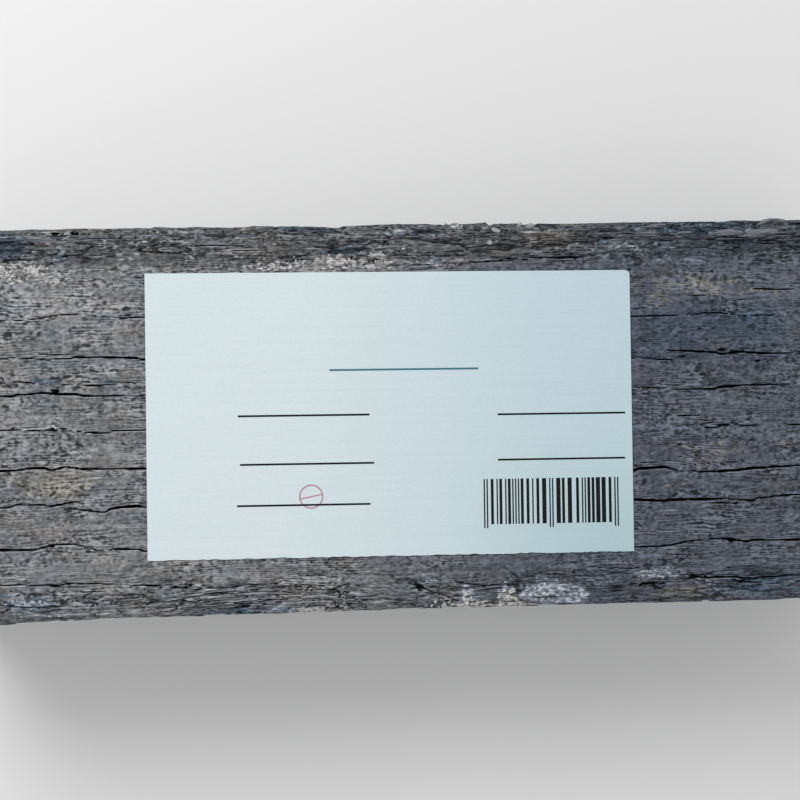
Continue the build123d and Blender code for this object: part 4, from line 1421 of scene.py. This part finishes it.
# %% Strew the crumbs
GOLDEN = (1 + math.sqrt(5)) / 2
BALL = np.array([(-1, GOLDEN, 0), (1, GOLDEN, 0), (-1, -GOLDEN, 0), (1, -GOLDEN, 0),
                 (0, -1, GOLDEN), (0, 1, GOLDEN), (0, -1, -GOLDEN), (0, 1, -GOLDEN),
                 (GOLDEN, 0, -1), (GOLDEN, 0, 1), (-GOLDEN, 0, -1), (-GOLDEN, 0, 1)])
BALL = BALL / np.linalg.norm(BALL[0])
BALL_FACES = np.array([(0, 11, 5), (0, 5, 1), (0, 1, 7), (0, 7, 10), (0, 10, 11), (1, 5, 9), (5, 11, 4),
                       (11, 10, 2), (10, 7, 6), (7, 1, 8), (3, 9, 4), (3, 4, 2), (3, 2, 6), (3, 6, 8),
                       (3, 8, 9), (4, 9, 5), (2, 4, 11), (6, 2, 10), (8, 6, 7), (9, 8, 1)])
CRUMBS_PER_MM2 = 0.4
sheet_far_edge, sheet_near_edge = sheet_points[:, 1].max() + 1.2, sheet_points[:, 1].min() - 1.2
rng = np.random.default_rng(501)
crumb_points, crumb_faces, crumb_tone = [], [], []
for spot_x, spot_y, along, across, strength in SPOTS["mud"]:
    near_arris = spot_y < 0  # the crust there is whiter, and of more and smaller grains
    for _ in range(int(CRUMBS_PER_MM2 * along * across * strength * (3.0 if near_arris else 1.0))):
        x_at, y_at = rng.normal(spot_x, along * 0.55), rng.normal(spot_y, across * 0.5)
        size = rng.uniform(0.45, 1.1) * (1 + 0.8 * rng.random() ** 3) * (0.75 if near_arris else 1.0)
        dents = rng.uniform(0.75, 1.15, (len(BALL), 1))
        stretch = rng.uniform(0.7, 1.35, 3) * (1.4, 0.9, 0.45)
        turn_by = rng.uniform(0, math.pi)
        beside_sheet = abs(x_at - SHEET_MIDDLE[0]) > SHEET_LENGTH / 2 + 3
        ground = height_at(x_at, y_at)
        if ground is None or (not beside_sheet and sheet_near_edge < y_at < sheet_far_edge):
            continue
        ball = BALL * dents * stretch * size
        spun_x = ball[:, 0] * math.cos(turn_by) - ball[:, 1] * math.sin(turn_by)
        spun_y = ball[:, 0] * math.sin(turn_by) + ball[:, 1] * math.cos(turn_by)
        crumb_faces.append(BALL_FACES + len(BALL) * len(crumb_points))
        ball_z = ground + 0.2 * size + ball[:, 2]
        crumb_points.append(np.stack([x_at + spun_x, y_at + spun_y, ball_z], axis=1))
        tone = rng.uniform(0.9, 1.3) if near_arris else rng.uniform(0.4, 1.0)
        crumb_tone.append(np.full(len(BALL), tone))


def dry_mud():
    """Pale dust with specks. Each crumb has its own tone."""
    material = bpy.data.materials.new("dry_mud")
    material.use_nodes = True
    tree = material.node_tree
    shader = tree.nodes["Principled BSDF"]
    dust = speckle(tree, (0.8, 0.8, 0.8), 17.0, detail=2.0)
    colour = mixed(tree, ramped(tree, dust, 0.3, 0.7), shade(144, 144, 145), shade(218, 217, 216))
    colour = mixed(tree, 1.0, colour, kept(tree, "tone"), "MULTIPLY")
    tree.links.new(colour, shader.inputs["Base Color"])
    shader.inputs["Roughness"].default_value = 0.95
    shader.inputs["Specular IOR Level"].default_value = 0.1
    return material


build_piece("mud_crumbs", np.vstack(crumb_points), np.vstack(crumb_faces),
            {"tone": np.concatenate(crumb_tone)}, None, [dry_mud()],
            np.zeros(len(BALL_FACES) * len(crumb_points), dtype=int), sharp=20)
